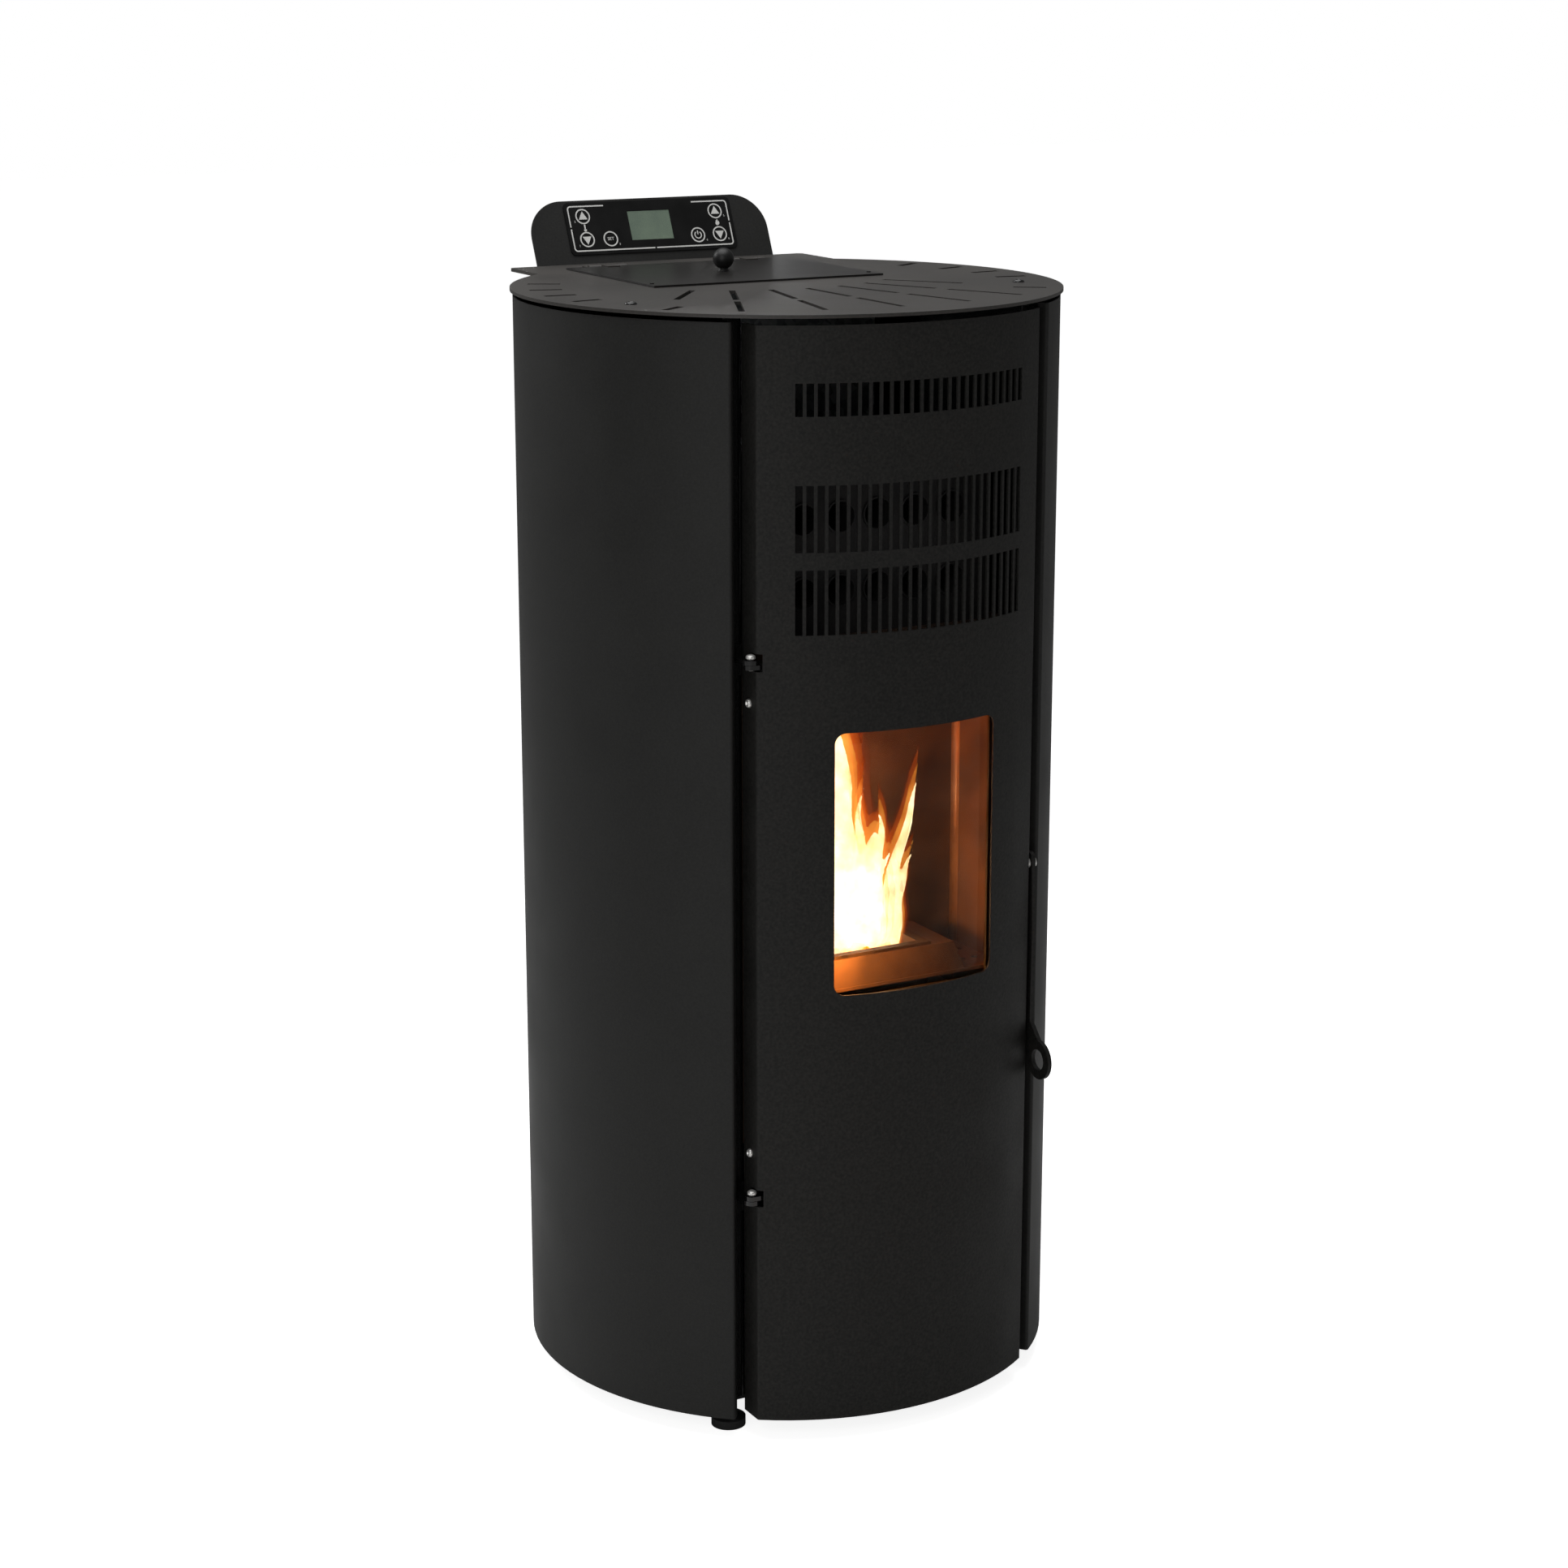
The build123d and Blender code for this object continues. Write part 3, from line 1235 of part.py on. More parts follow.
def room_plane():
    """Scroll plane for the room fan: local Z along -X, the outlet up in front."""
    return Plane(origin=(riser_x[1], room_fan_y, room_fan_z), x_dir=(0, -1, 0), z_dir=(-1, 0, 0))


def room_fan_case():
    """Scroll that stands on the base plate, open at both sides, with its outlet up into the riser."""
    width = riser_x[1] - riser_x[0]
    outlet = room_outlet - 2 * hole_gap
    case = room_plane() * scroll_case(room_scroll_r, room_scroll_step, width, duct_d, outlet, (0, width))
    low = room_fan_z - room_scroll_r - 3 * room_scroll_step
    for x in (riser_x[0] + fan_foot_w, riser_x[1] - 2 * fan_foot_w):
        y = (room_fan_y - fan_foot_w, room_fan_y + fan_foot_w)
        case += block((x, x + fan_foot_w), y, (sheet_z, low + 4 * fan_foot_sink))
    return case


def room_fan_wheel():
    width = riser_x[1] - riser_x[0] - 2 * room_wheel_gap
    part = wheel(room_wheel_r, width, room_wheel_gap + motor_arm[1])
    return room_plane() * Pos(0, 0, room_wheel_gap) * part


def room_fan_motor():
    """Motor on a cross arm over the fan's inlet."""
    width, thick = motor_arm
    reach = 2 * eye_share * room_scroll_r + 2 * room_wheel_gap
    arm = Pos(0, 0, -thick) * Box(reach, width, thick, align=(Align.CENTER, Align.CENTER, Align.MIN))
    body = Pos(0, 0, -motor_len - thick) * motor(motor_len)
    return room_plane() * (body + arm - Cylinder(wheel_hub_r + 2 * hole_gap, 4 * thick))


def air_intake():
    x, z = intake_x, intake_z
    pipe = tube((x, box_back + box_wall, z), (x, back_y + intake_past_back, z), intake_r, intake_wall)
    ends = [(x, back_y, z), (x, back_y + intake_flange_t, z)]
    flange = tube(*ends, intake_r + intake_flange, intake_flange + intake_wall)
    return pipe + flange


# ---- pellet feed

def auger_line(distance):
    """Point on the auger's axis, measured from its upper end down the slope."""
    y, z = auger_top
    return (0, y + distance / sqrt(2), z - distance / sqrt(2))


def auger_tube():
    outer_r = auger_r + auger_tube_wall
    pipe = tube(auger_line(0), auger_line(auger_len), outer_r, auger_tube_wall)
    y = outlet_y()
    half = outlet_side / 2 - hopper_wall
    pipe -= block((-half, half), (y - half, y + half), (auger_line(auger_len)[2] - past, body_h))
    flange = rod(auger_line(auger_len - auger_flange_t), auger_line(auger_len), outer_r + auger_flange)
    bore = rod(auger_line(auger_len - past), auger_line(auger_len + past), auger_shaft_r + 1)
    return pipe + flange - bore


def outlet_y():
    """Middle of the hopper's outlet, over the lower half of the auger."""
    return auger_line(outlet_down)[1]


def auger_screw():
    """Shaft with one helical flight."""
    free, start = auger_ends
    shaft = Cylinder(auger_shaft_r, auger_len + shaft_tail, align=(Align.CENTER, Align.CENTER, Align.MIN))
    blade = flight(auger_r - auger_edge_gap, auger_len - free)
    return auger_plane(auger_start) * (shaft + Pos(0, 0, start) * blade)


def auger_plane(distance):
    """Plane square to the auger, its Z down the slope."""
    return Plane(origin=auger_line(distance), x_dir=(1, 0, 0), z_dir=(0, 1, -1))


def flight(radius, length):
    """Helical strip from inside the shaft to the tube, swept along the screw's edge."""
    path = Helix(auger_pitch, length, radius)
    half = auger_blade_t / 2
    inner = auger_shaft_r - 1
    corners = [(inner, 0, -half), (radius, 0, -half), (radius, 0, half), (inner, 0, half)]
    section = make_face(Polyline(*corners, close=True))
    return sweep(section, path=path.edge(), is_frenet=True)


def auger_motor():
    """Gearbox and motor on the lower end of the auger tube."""
    gearbox = Pos(0, 0, gearbox_t / 2) * Box(gearbox_w, gearbox_w, gearbox_t)
    gearbox = fillet(gearbox.edges().filter_by(Axis.Z), gearbox_corner_r)
    body = gearbox + Pos(0, 0, gearbox_t) * motor(gear_motor_len)
    bore = Cylinder(auger_shaft_r + run_gap, 2 * (shaft_tail + auger_start + hole_gap))
    return auger_plane(auger_len + 2 * hole_gap) * (body - bore)


def pellet_chute():
    """Wedge-shaped chamber that drops the pellets from the auger through the firebox's back wall."""
    y, z = auger_top
    wall_y = box_back + box_wall + run_gap / 3
    rise_y = y - wall_y

    def wedge(inset, half):
        low = z - rise_y + inset * sqrt(2)
        top = z + chute_head - inset
        front = wall_y - inset
        points = [(front, low - inset), (wall_y + top - low, top), (front, top)]
        side = make_face(Polyline(*[(0, py, pz) for py, pz in points], close=True))
        return Pos(-half, 0, 0) * extrude(side, 2 * half, dir=(1, 0, 0))

    chute = wedge(0, chute_half_w) - wedge(chute_wall, chute_half_w - chute_wall)
    return chute - rod(auger_line(-past), auger_line(past), auger_r)


def hopper():
    """Pellet hopper: a straight mouth under the lid, then a funnel down to the auger."""
    y0, y1 = hopper_y()
    x = hopper_half_w()
    out_y = outlet_y()
    out_z = auger_line(outlet_down)[2] + neck_over

    def body(inset, top):
        straight = block((-x + inset, x - inset), (y0 + inset, y1 - inset), (out_z + funnel_h, top))
        upper = Pos(0, (y0 + y1) / 2, out_z + funnel_h) * Rectangle(2 * (x - inset), y1 - y0 - 2 * inset)
        lower = Pos(0, out_y, out_z) * Rectangle(outlet_side - 2 * inset, outlet_side - 2 * inset)
        half = outlet_side / 2 - inset
        neck = block((-half, half), (out_y - half, out_y + half), (out_z - neck_h, out_z))
        return straight + loft([lower.face(), upper.face()]) + neck

    shell = body(0, plate_z) - body(hopper_wall, plate_z + past)
    shell -= block((-x, x), (-body_r, body_r), (0, out_z - neck_h + hopper_wall))
    f = hopper_flange
    flange = block((-x - f, x + f), (y0 - f, y1 + f), (plate_z - hopper_flange_t, plate_z))
    w = hopper_wall / 2
    flange -= block((-x + w, x - w), (y0 + w, y1 - w), (0, 2 * body_h))
    return shell + flange - rod(auger_line(0), auger_line(auger_len), auger_r + auger_tube_wall + hole_gap)


def hopper_half_w():
    return mouth_half()[0] + hopper_wall + hopper_clear


def hopper_y():
    half = mouth_half()[1] + hopper_wall + hopper_clear
    return knob_y - half, knob_y + half


# ---- electrics

def mains_inlet():
    """Flanged plug inlet with a switch well, from the back."""
    x, z = inlet_x, inlet_z
    w, h = inlet_w / 2, inlet_h / 2
    body = block((x - w, x + w), (back_y - inlet_d, back_y), (z - h, z + h))
    over, under, flange_t = inlet_flange
    flange = block((x - w - over, x + w + over), (back_y, back_y + flange_t), (z - h - under, z + h + under))
    part = body + fillet(flange.edges().filter_by(Axis.Y), inlet_corner_r)
    socket_half = (socket_w / 2, socket_h / 2)
    at = x + socket_off
    socket_x = (at - socket_half[0], at + socket_half[0])
    part -= block(socket_x, (back_y - socket_d, back_y + past), (z - socket_half[1], z + socket_half[1]))
    half_x, half_z = rocker_w / 2 + knuckle_gap, rocker_h / 2 + knuckle_gap
    at = rocker_place()[0]
    part -= block((at - half_x, at + half_x), (back_y - rocker_well, back_y + past), (z - half_z, z + half_z))
    part -= rocker_axle(shaft_gap)
    blade_x, blade_z = contact_size[0] / 2, contact_size[1] / 2
    for i in (-1, 0, 1):
        at = x + socket_off + contact_pitch * i
        blade_y = (back_y - socket_d - 1, back_y - contact_in)
        part += block((at - blade_x, at + blade_x), blade_y, (z - blade_z, z + blade_z))
    return part


def rocker_place():
    return inlet_x + rocker_off, back_y - rocker_in, inlet_z


def rocker_axle(clearance):
    """The rocker's pivot, or its seat in the inlet."""
    x, y, z = rocker_place()
    radius, sunk = rocker_pivot
    half = rocker_w / 2 + knuckle_gap + sunk + clearance
    return rod((x - half, y, z), (x + half, y, z), radius + clearance)


def power_rocker():
    """Switch key with a dished face, its low end pressed in."""
    x, y, z = rocker_place()
    root, low, dish, high = rocker_profile
    half = rocker_h / 2 - rocker_gap
    with BuildSketch(Plane.YZ) as side:
        with BuildLine():
            Polyline(
                (y - root, z - half + 1), (y + low, z - half), (y + dish, z),
                (y + high, z + half), (y - root, z + half - 1), close=True,
            )
        make_face()
    half = rocker_w / 2 - hole_gap
    return Pos(x - half, 0, 0) * extrude(side.sketch, 2 * half) + rocker_axle(0)


def control_board():
    """Controller in its plastic case on the left chassis side."""
    depth, width, height = board_box
    x, y = -chassis_in, back_y - board_from_back
    case = block((x, x + depth), (y - width, y), (board_z, board_z + height))
    case = fillet(case.faces().sort_by(Axis.X)[-1].edges(), board_corner_r)
    strip_t, inset, strip_h = board_terminals
    z = board_z + inset
    return case + block((x + depth, x + depth + strip_t), (y - width + inset, y - inset), (z, z + strip_h))


def build():
    os.makedirs("parts", exist_ok=True)
    save("base_plate", base_plate())
    save("levelling_feet", *[Pos(x, y) * levelling_foot() for x, y in foot_places()])
    save("foot_nuts", *[Pos(x, y) * foot_nut() for x, y in foot_places()])
    side = chassis_side()
    save("chassis_right", side - flue_bore())
    save("chassis_left", mirrored(side))
    panel = side_panel()
    save("side_panel_right", panel)
    save("side_panel_left", mirrored(panel))
    save("rear_panel", rear_panel())
    save("case_screws", *case_screws())
    save("top_plate", top_plate())
    save("top_plate_bolts", *top_plate_bolts())
    save("hopper_lid", hopper_lid())
    save("lid_knob", lid_knob())
    save("lid_hinge_knuckles", *lid_hinge_knuckles(True))
    save("plate_hinge_knuckles", *lid_hinge_knuckles(False))
    save("lid_hinge_pins", *lid_hinge_pins())
    save("control_panel_plate", control_panel_plate())
    save("display_bezel", display_bezel())
    save("lcd_screen", lcd_screen())
    save("display_casing", display_casing())
    save("door_skin", door_skin())
    save("door_inner_frame", door_inner_frame())
    save("door_gasket", door_gasket())
    save("door_glass", door_glass())
    save("glass_gasket", glass_gasket())
    strip = glass_retainer()
    save("glass_retainers", strip, mirrored(strip))
    lower, upper = hinge_steps(hinge_low_z), hinge_steps(hinge_high_z)
    save("door_hinge_brackets", door_hinge_bracket(lower[1], 1), door_hinge_bracket(upper[0], -1))
    save("door_screws", *door_screws())
    save("hinge_lugs", hinge_lug(lower[0]), hinge_lug(upper[1]))
    save("hinge_pins", hinge_pin(hinge_low_z), hinge_pin(hinge_high_z))
    save("latch_lever", latch_lever())
    save("latch_bolt", latch_bolt())
    save("latch_stud", latch_stud())
    save("firebox", firebox())
    save("firebox_floor", firebox_floor())
    save("pot_stand", pot_stand())
    save("burn_pot", burn_pot())
    sleeve, heater = igniter()
    save("igniter_sleeve", sleeve)
    save("igniter", heater)
    save("ash_drawer", ash_drawer())
    save("exchanger_shell", exchanger_shell())
    save("exchanger_tubes", *exchanger_tubes())
    save("air_duct", air_duct())
    save("smoke_duct", smoke_duct())
    save("smoke_fan_case", smoke_fan_case())
    save("smoke_fan_motor", smoke_fan_motor())
    save("smoke_impeller", smoke_impeller())
    save("flue_outlet", flue_outlet())
    save("room_fan_case", room_fan_case())
    save("room_fan_wheel", room_fan_wheel())
    save("room_fan_motor", room_fan_motor())
    save("air_intake", air_intake())
    save("auger_tube", auger_tube())
    save("auger_screw", auger_screw())
    save("auger_motor", auger_motor())
    save("pellet_chute", pellet_chute())
    save("hopper", hopper())
    save("mains_inlet", mains_inlet())
    save("power_rocker", power_rocker())
    save("control_board", control_board())


build()
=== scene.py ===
import math
import bmesh
import bpy
import numpy as np
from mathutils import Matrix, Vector


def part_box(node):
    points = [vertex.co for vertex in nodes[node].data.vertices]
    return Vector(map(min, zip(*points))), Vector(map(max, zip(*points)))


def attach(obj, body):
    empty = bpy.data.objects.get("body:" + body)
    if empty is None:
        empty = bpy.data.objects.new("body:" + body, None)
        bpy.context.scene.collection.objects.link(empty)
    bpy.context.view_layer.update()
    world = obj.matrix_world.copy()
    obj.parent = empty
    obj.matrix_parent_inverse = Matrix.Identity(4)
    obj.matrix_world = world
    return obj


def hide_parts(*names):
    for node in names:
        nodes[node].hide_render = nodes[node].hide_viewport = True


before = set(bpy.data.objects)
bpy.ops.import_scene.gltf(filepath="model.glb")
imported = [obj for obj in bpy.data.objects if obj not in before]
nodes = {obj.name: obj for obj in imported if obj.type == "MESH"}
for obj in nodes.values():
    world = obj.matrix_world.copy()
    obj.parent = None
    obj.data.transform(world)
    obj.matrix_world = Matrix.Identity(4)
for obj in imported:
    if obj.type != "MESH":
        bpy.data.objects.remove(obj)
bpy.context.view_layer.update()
scene = bpy.context.scene
print("frame loaded:", len(nodes), "CAD nodes")

# camera: front left, a little above the stove's top; metres, degrees, and millimetres for lens and sensor
camera = {"bodyY": -0.020, "azimuth": -28.7, "distance": 3.0135, "left": 0.0023, "height": 1.3395, "pitch": 14.5,
          "lens": 75.2, "sensor": 36, "clip": (0.05, 60)}


def placeCamera(look):
    # stands at the azimuth round the stove's axis, then tips down by the pitch
    a = math.radians(look["azimuth"])
    forward = Vector((-math.sin(a), math.cos(a), 0))
    right = Vector((math.cos(a), math.sin(a), 0))
    place = Vector((0, look["bodyY"], look["height"])) - forward * look["distance"] - right * look["left"]
    data = bpy.data.cameras.new("studioCamera")
    data.lens, data.sensor_width = look["lens"], look["sensor"]
    data.clip_start, data.clip_end = look["clip"]
    item = bpy.data.objects.new("studioCamera", data)
    item.location = place
    item.rotation_euler = (math.radians(90 - look["pitch"]), 0, a)
    scene.collection.objects.link(item)
    scene.camera = item


placeCamera(camera)


# small helpers for node trees
def linear(hexColour):
    # sRGB hex to the linear values that the shaders take
    parts = [int(hexColour[i:i + 2], 16) / 255 for i in (1, 3, 5)]
    return tuple(p / 12.92 if p <= 0.04045 else ((p + 0.055) / 1.055) ** 2.4 for p in parts) + (1.0,)


def addNode(tree, kind, settings=None, links=None):
    # one node with its own fields or input values, the outputs that feed its inputs, and a ramp's colour stops
    node = tree.nodes.new(kind)
    for key, value in (settings or {}).items():
        if key == "stops":
            for stop, (position, hexColour) in zip(node.color_ramp.elements, value):
                stop.position, stop.color = position, linear(hexColour)
        elif isinstance(key, int) or key in node.inputs:
            node.inputs[key].default_value = value
        else:
            setattr(node, key, value)
    for key, output in (links or {}).items():
        tree.links.new(output, node.inputs[key])
    return node


def newMaterial(name):
    # an empty material with its output node
    material = bpy.data.materials.new(name)
    material.use_nodes = True
    material.node_tree.nodes.clear()
    return material, material.node_tree, material.node_tree.nodes.new("ShaderNodeOutputMaterial")


def grainedFinish(name, look):
    # fine grain and slow drift are two noises, sized in millimetres; together they mix two tones, the grain lifts
    # the surface and the drift varies the roughness
    material, tree, out = newMaterial(name)
    place = addNode(tree, "ShaderNodeTexCoord").outputs["Object"]
    grain = addNode(tree, "ShaderNodeTexNoise", {"Scale": 1000 / look["grain"], "Detail": 3.0}, {"Vector": place})
    drift = addNode(tree, "ShaderNodeTexNoise", {"Scale": 1000 / look["drift"], "Detail": 2.0}, {"Vector": place})
    both = addNode(tree, "ShaderNodeMix", {"data_type": "FLOAT", 0: look.get("driftTone", 0.5)},
                   {2: grain.outputs["Fac"], 3: drift.outputs["Fac"]})
    colour = addNode(tree, "ShaderNodeValToRGB", {"stops": [(0.35, look["dark"]), (0.65, look["light"])]},
                     {"Fac": both.outputs[0]})
    rough = addNode(tree, "ShaderNodeMapRange", {"From Min": 0.3, "From Max": 0.7, "To Min": look["rough"][0],
                                                 "To Max": look["rough"][1]}, {"Value": drift.outputs["Fac"]})
    bump = addNode(tree, "ShaderNodeBump", {"Strength": look["bump"], "Distance": look["depth"] / 1000},
                   {"Height": grain.outputs["Fac"]})
    shader = addNode(tree, "ShaderNodeBsdfPrincipled",
                     {"Metallic": look.get("metal", 0.0), "Specular IOR Level": look.get("shine", 0.5),
                      "Coat Weight": look.get("coat", 0.0), "Coat Roughness": look.get("coatRough", 0.1)},
                     {"Base Color": colour.outputs["Color"], "Roughness": rough.outputs["Result"],
                      "Normal": bump.outputs["Normal"]})
    tree.links.new(shader.outputs["BSDF"], out.inputs["Surface"])
    return material


# finishes on Object coordinates, sizes in millimetres
finishes = {
    # heat-resistant stove paint sprayed on sheet: matt, near black, a faint sandy grain (0.3 mm, drawn at 2)
    "panelPaint": {"grain": 2.0, "drift": 90, "dark": "#1e1e1d", "light": "#272726", "bump": 0.35,
                   "depth": 0.14, "rough": (0.50, 0.60), "shine": 0.28},
    # fine-textured stove paint: darker and drier, its texture (0.4 mm, drawn at 2.6) breaks the light up
    "doorPaint": {"grain": 2.6, "drift": 70, "dark": "#131312", "light": "#242321", "bump": 0.60,
                  "depth": 0.26, "rough": (0.54, 0.66), "shine": 0.28, "driftTone": 0.25},
    # satin textured paint on the top: warm dark grey that shines softly towards the light
    "topPaint": {"grain": 2.0, "drift": 120, "dark": "#2d2b29", "light": "#3d3a37", "bump": 0.45,
                 "depth": 0.14, "rough": (0.40, 0.48), "shine": 0.5},
    # the same paint on the lid, its tones drawn darker than the top's as painted shade, and smoother, rubbed by hands
    # and pellet bags
    "shadedLidPaint": {"grain": 2.0, "drift": 140, "dark": "#171615", "light": "#1f1d1c", "bump": 0.30,
                 "depth": 0.10, "rough": (0.32, 0.37), "shine": 0.3},
    # gloss paint on the chassis folds and brackets: black, clear reflections with a little orange peel
    "glossEnamel": {"grain": 4.0, "drift": 50, "dark": "#0b0b0b", "light": "#101010", "bump": 0.10,
                    "depth": 0.10, "rough": (0.14, 0.22), "shine": 0.5, "coat": 0.3, "coatRough": 0.08},
    # plain matt paint on the back and the base
    "sheetPaint": {"grain": 1.4, "drift": 60, "dark": "#191919", "light": "#242424", "bump": 0.35,
                   "depth": 0.12, "rough": (0.55, 0.70), "shine": 0.3},
    # zinc-plated steel: bright, slightly blue, faint rubbed marks
    "zincSteel": {"grain": 0.9, "drift": 14, "dark": "#b4b5b6", "light": "#dcdddc", "bump": 0.06,
                  "depth": 0.04, "rough": (0.24, 0.36), "metal": 1.0},
    # nickel plate on the door's screws and pins: nearly white, softly polished
    "nickelPlate": {"grain": 0.9, "drift": 9, "dark": "#e6e4e0", "light": "#f8f7f4", "bump": 0.04,
                    "depth": 0.03, "rough": (0.30, 0.42), "metal": 0.75},
    # black steel that has been hot: scale and brown bloom
    "heatSteel": {"grain": 3.0, "drift": 60, "dark": "#3f322b", "light": "#5e4839", "bump": 0.06,
                  "depth": 0.05, "rough": (0.55, 0.72), "metal": 0.2, "driftTone": 0.7},
    # the same steel on the liner's bends, its tones drawn much lighter as a painted highlight where the bend catches
    # the light; smoother and more metallic
    "highlitBentSteel": {"grain": 3.0, "drift": 40, "dark": "#8a6a52", "light": "#a98566", "bump": 0.08,
                  "depth": 0.05, "rough": (0.35, 0.45), "metal": 0.5, "driftTone": 0.7},
    # mill-scaled plate round the heat exchanger: blue-grey black, dull
    "scaledPlate": {"grain": 2.4, "drift": 35, "dark": "#232324", "light": "#363433", "bump": 0.20,
                    "depth": 0.08, "rough": (0.50, 0.66), "metal": 0.3, "driftTone": 0.6},
    # cast iron of the burn pot: sandy skin, brown and grey from the fire
    "castIron": {"grain": 1.6, "drift": 18, "dark": "#2a2320", "light": "#57473c", "bump": 0.60,
                 "depth": 0.25, "rough": (0.55, 0.78), "metal": 0.6},
    # phenolic ball: black, moulded, its polish dulled by hands
    "phenolic": {"grain": 3.0, "drift": 20, "dark": "#0c0c0c", "light": "#141413", "bump": 0.08,
                 "depth": 0.05, "rough": (0.42, 0.52), "shine": 0.4},
    # keypad film: gloss black polyester, slightly stippled
    "keypadFilm": {"grain": 0.8, "drift": 25, "dark": "#060606", "light": "#0b0b0b", "bump": 0.08,
                   "depth": 0.04, "rough": (0.30, 0.40), "shine": 0.35},
    # moulded ABS housing: spark-eroded fine texture
    "mouldedPlastic": {"grain": 0.9, "drift": 30, "dark": "#161616", "light": "#1f1f1f", "bump": 0.30,
                       "depth": 0.08, "rough": (0.45, 0.60), "shine": 0.45},
    # silk-screened ink: warm white, a touch uneven
    "printInk": {"grain": 0.7, "drift": 12, "dark": "#d2d2cf", "light": "#e6e6e3", "bump": 0.10,
                 "depth": 0.02, "rough": (0.45, 0.60), "shine": 0.3},
    # display behind its cover: grey-green with a faint unevenness
    "displayGlass": {"grain": 0.6, "drift": 30, "dark": "#66756a", "light": "#7b8b79", "bump": 0.02,
                     "depth": 0.01, "rough": (0.20, 0.28), "shine": 0.4},
    # glass-fibre rope: black, dry, each strand a little different
    "glassRope": {"grain": 0.7, "drift": 5, "dark": "#161616", "light": "#33322f", "bump": 0.7,
                  "depth": 0.2, "rough": (0.80, 0.95), "shine": 0.2},
}
paints = {name: grainedFinish(name, look) for name, look in finishes.items()}


def galvanisedSheet():
    # galvanised sheet: metal with crystal spangle about 9 mm across, each flake its own grey and shine
    material, tree, out = newMaterial("galvanisedSheet")
    place = addNode(tree, "ShaderNodeTexCoord").outputs["Object"]
    flakes = addNode(tree, "ShaderNodeTexVoronoi", {"Scale": 1000 / 9}, {"Vector": place})
    tone = addNode(tree, "ShaderNodeSeparateColor", None, {"Color": flakes.outputs["Color"]})
    colour = addNode(tree, "ShaderNodeValToRGB", {"stops": [(0.2, "#8f9496"), (0.8, "#b9bdbe")]},
                     {"Fac": tone.outputs[0]})
    rough = addNode(tree, "ShaderNodeMapRange", {"To Min": 0.32, "To Max": 0.5}, {"Value": tone.outputs[1]})
    shader = addNode(tree, "ShaderNodeBsdfPrincipled", {"Metallic": 1.0},
                     {"Base Color": colour.outputs["Color"], "Roughness": rough.outputs["Result"]})
    tree.links.new(shader.outputs["BSDF"], out.inputs["Surface"])
    return material


def laminatedSteel():
    # motors: grey metal with lamination lines (0.5 mm apart, drawn 3 mm apart)
    material, tree, out = newMaterial("laminatedSteel")
    place = addNode(tree, "ShaderNodeTexCoord").outputs["Object"]
    lines = addNode(tree, "ShaderNodeTexWave", {"wave_type": "BANDS", "bands_direction": "X", "Scale": 105.0,
                                                "Distortion": 0.2}, {"Vector": place})
    cloud = addNode(tree, "ShaderNodeTexNoise", {"Scale": 125.0}, {"Vector": place})
    colour = addNode(tree, "ShaderNodeValToRGB", {"stops": [(0.35, "#6c6d6e"), (0.65, "#8d8e8f")]},
                     {"Fac": cloud.outputs["Fac"]})
    rough = addNode(tree, "ShaderNodeMapRange", {"From Min": 0.3, "From Max": 0.7, "To Min": 0.35, "To Max": 0.5},
                    {"Value": cloud.outputs["Fac"]})
    bump = addNode(tree, "ShaderNodeBump", {"Strength": 0.25, "Distance": 0.0002}, {"Height": lines.outputs["Fac"]})
    shader = addNode(tree, "ShaderNodeBsdfPrincipled", {"Metallic": 1.0},
                     {"Base Color": colour.outputs["Color"], "Roughness": rough.outputs["Result"],
                      "Normal": bump.outputs["Normal"]})
    tree.links.new(shader.outputs["BSDF"], out.inputs["Surface"])
    return material


def ceramicGlass():
    # clear ceramic glass: lets the fire show, mirrors a little by its angle, a faint smoke film in patches
    material, tree, out = newMaterial("ceramicGlass")
    place = addNode(tree, "ShaderNodeTexCoord").outputs["Object"]
    smoke = addNode(tree, "ShaderNodeTexNoise", {"Scale": 18.0}, {"Vector": place})
    film = addNode(tree, "ShaderNodeValToRGB", {"stops": [(0.35, "#f2ebe0"), (0.65, "#fdfbf6")]},
                   {"Fac": smoke.outputs["Fac"]})
    rough = addNode(tree, "ShaderNodeMapRange", {"From Min": 0.3, "From Max": 0.7, "To Min": 0.03, "To Max": 0.07},
                    {"Value": smoke.outputs["Fac"]})
    clear = addNode(tree, "ShaderNodeBsdfTransparent", None, {"Color": film.outputs["Color"]})
    mirror = addNode(tree, "ShaderNodeBsdfGlossy", {"Color": (1, 1, 1, 1)}, {"Roughness": rough.outputs["Result"]})
    angle = addNode(tree, "ShaderNodeFresnel", {"IOR": 1.14})
    mix = addNode(tree, "ShaderNodeMixShader", None,
                  {0: angle.outputs["Fac"], 1: clear.outputs["BSDF"], 2: mirror.outputs["BSDF"]})
    tree.links.new(mix.outputs["Shader"], out.inputs["Surface"])
    return material


galvanised = galvanisedSheet()
laminated = laminatedSteel()
glassPane = ceramicGlass()

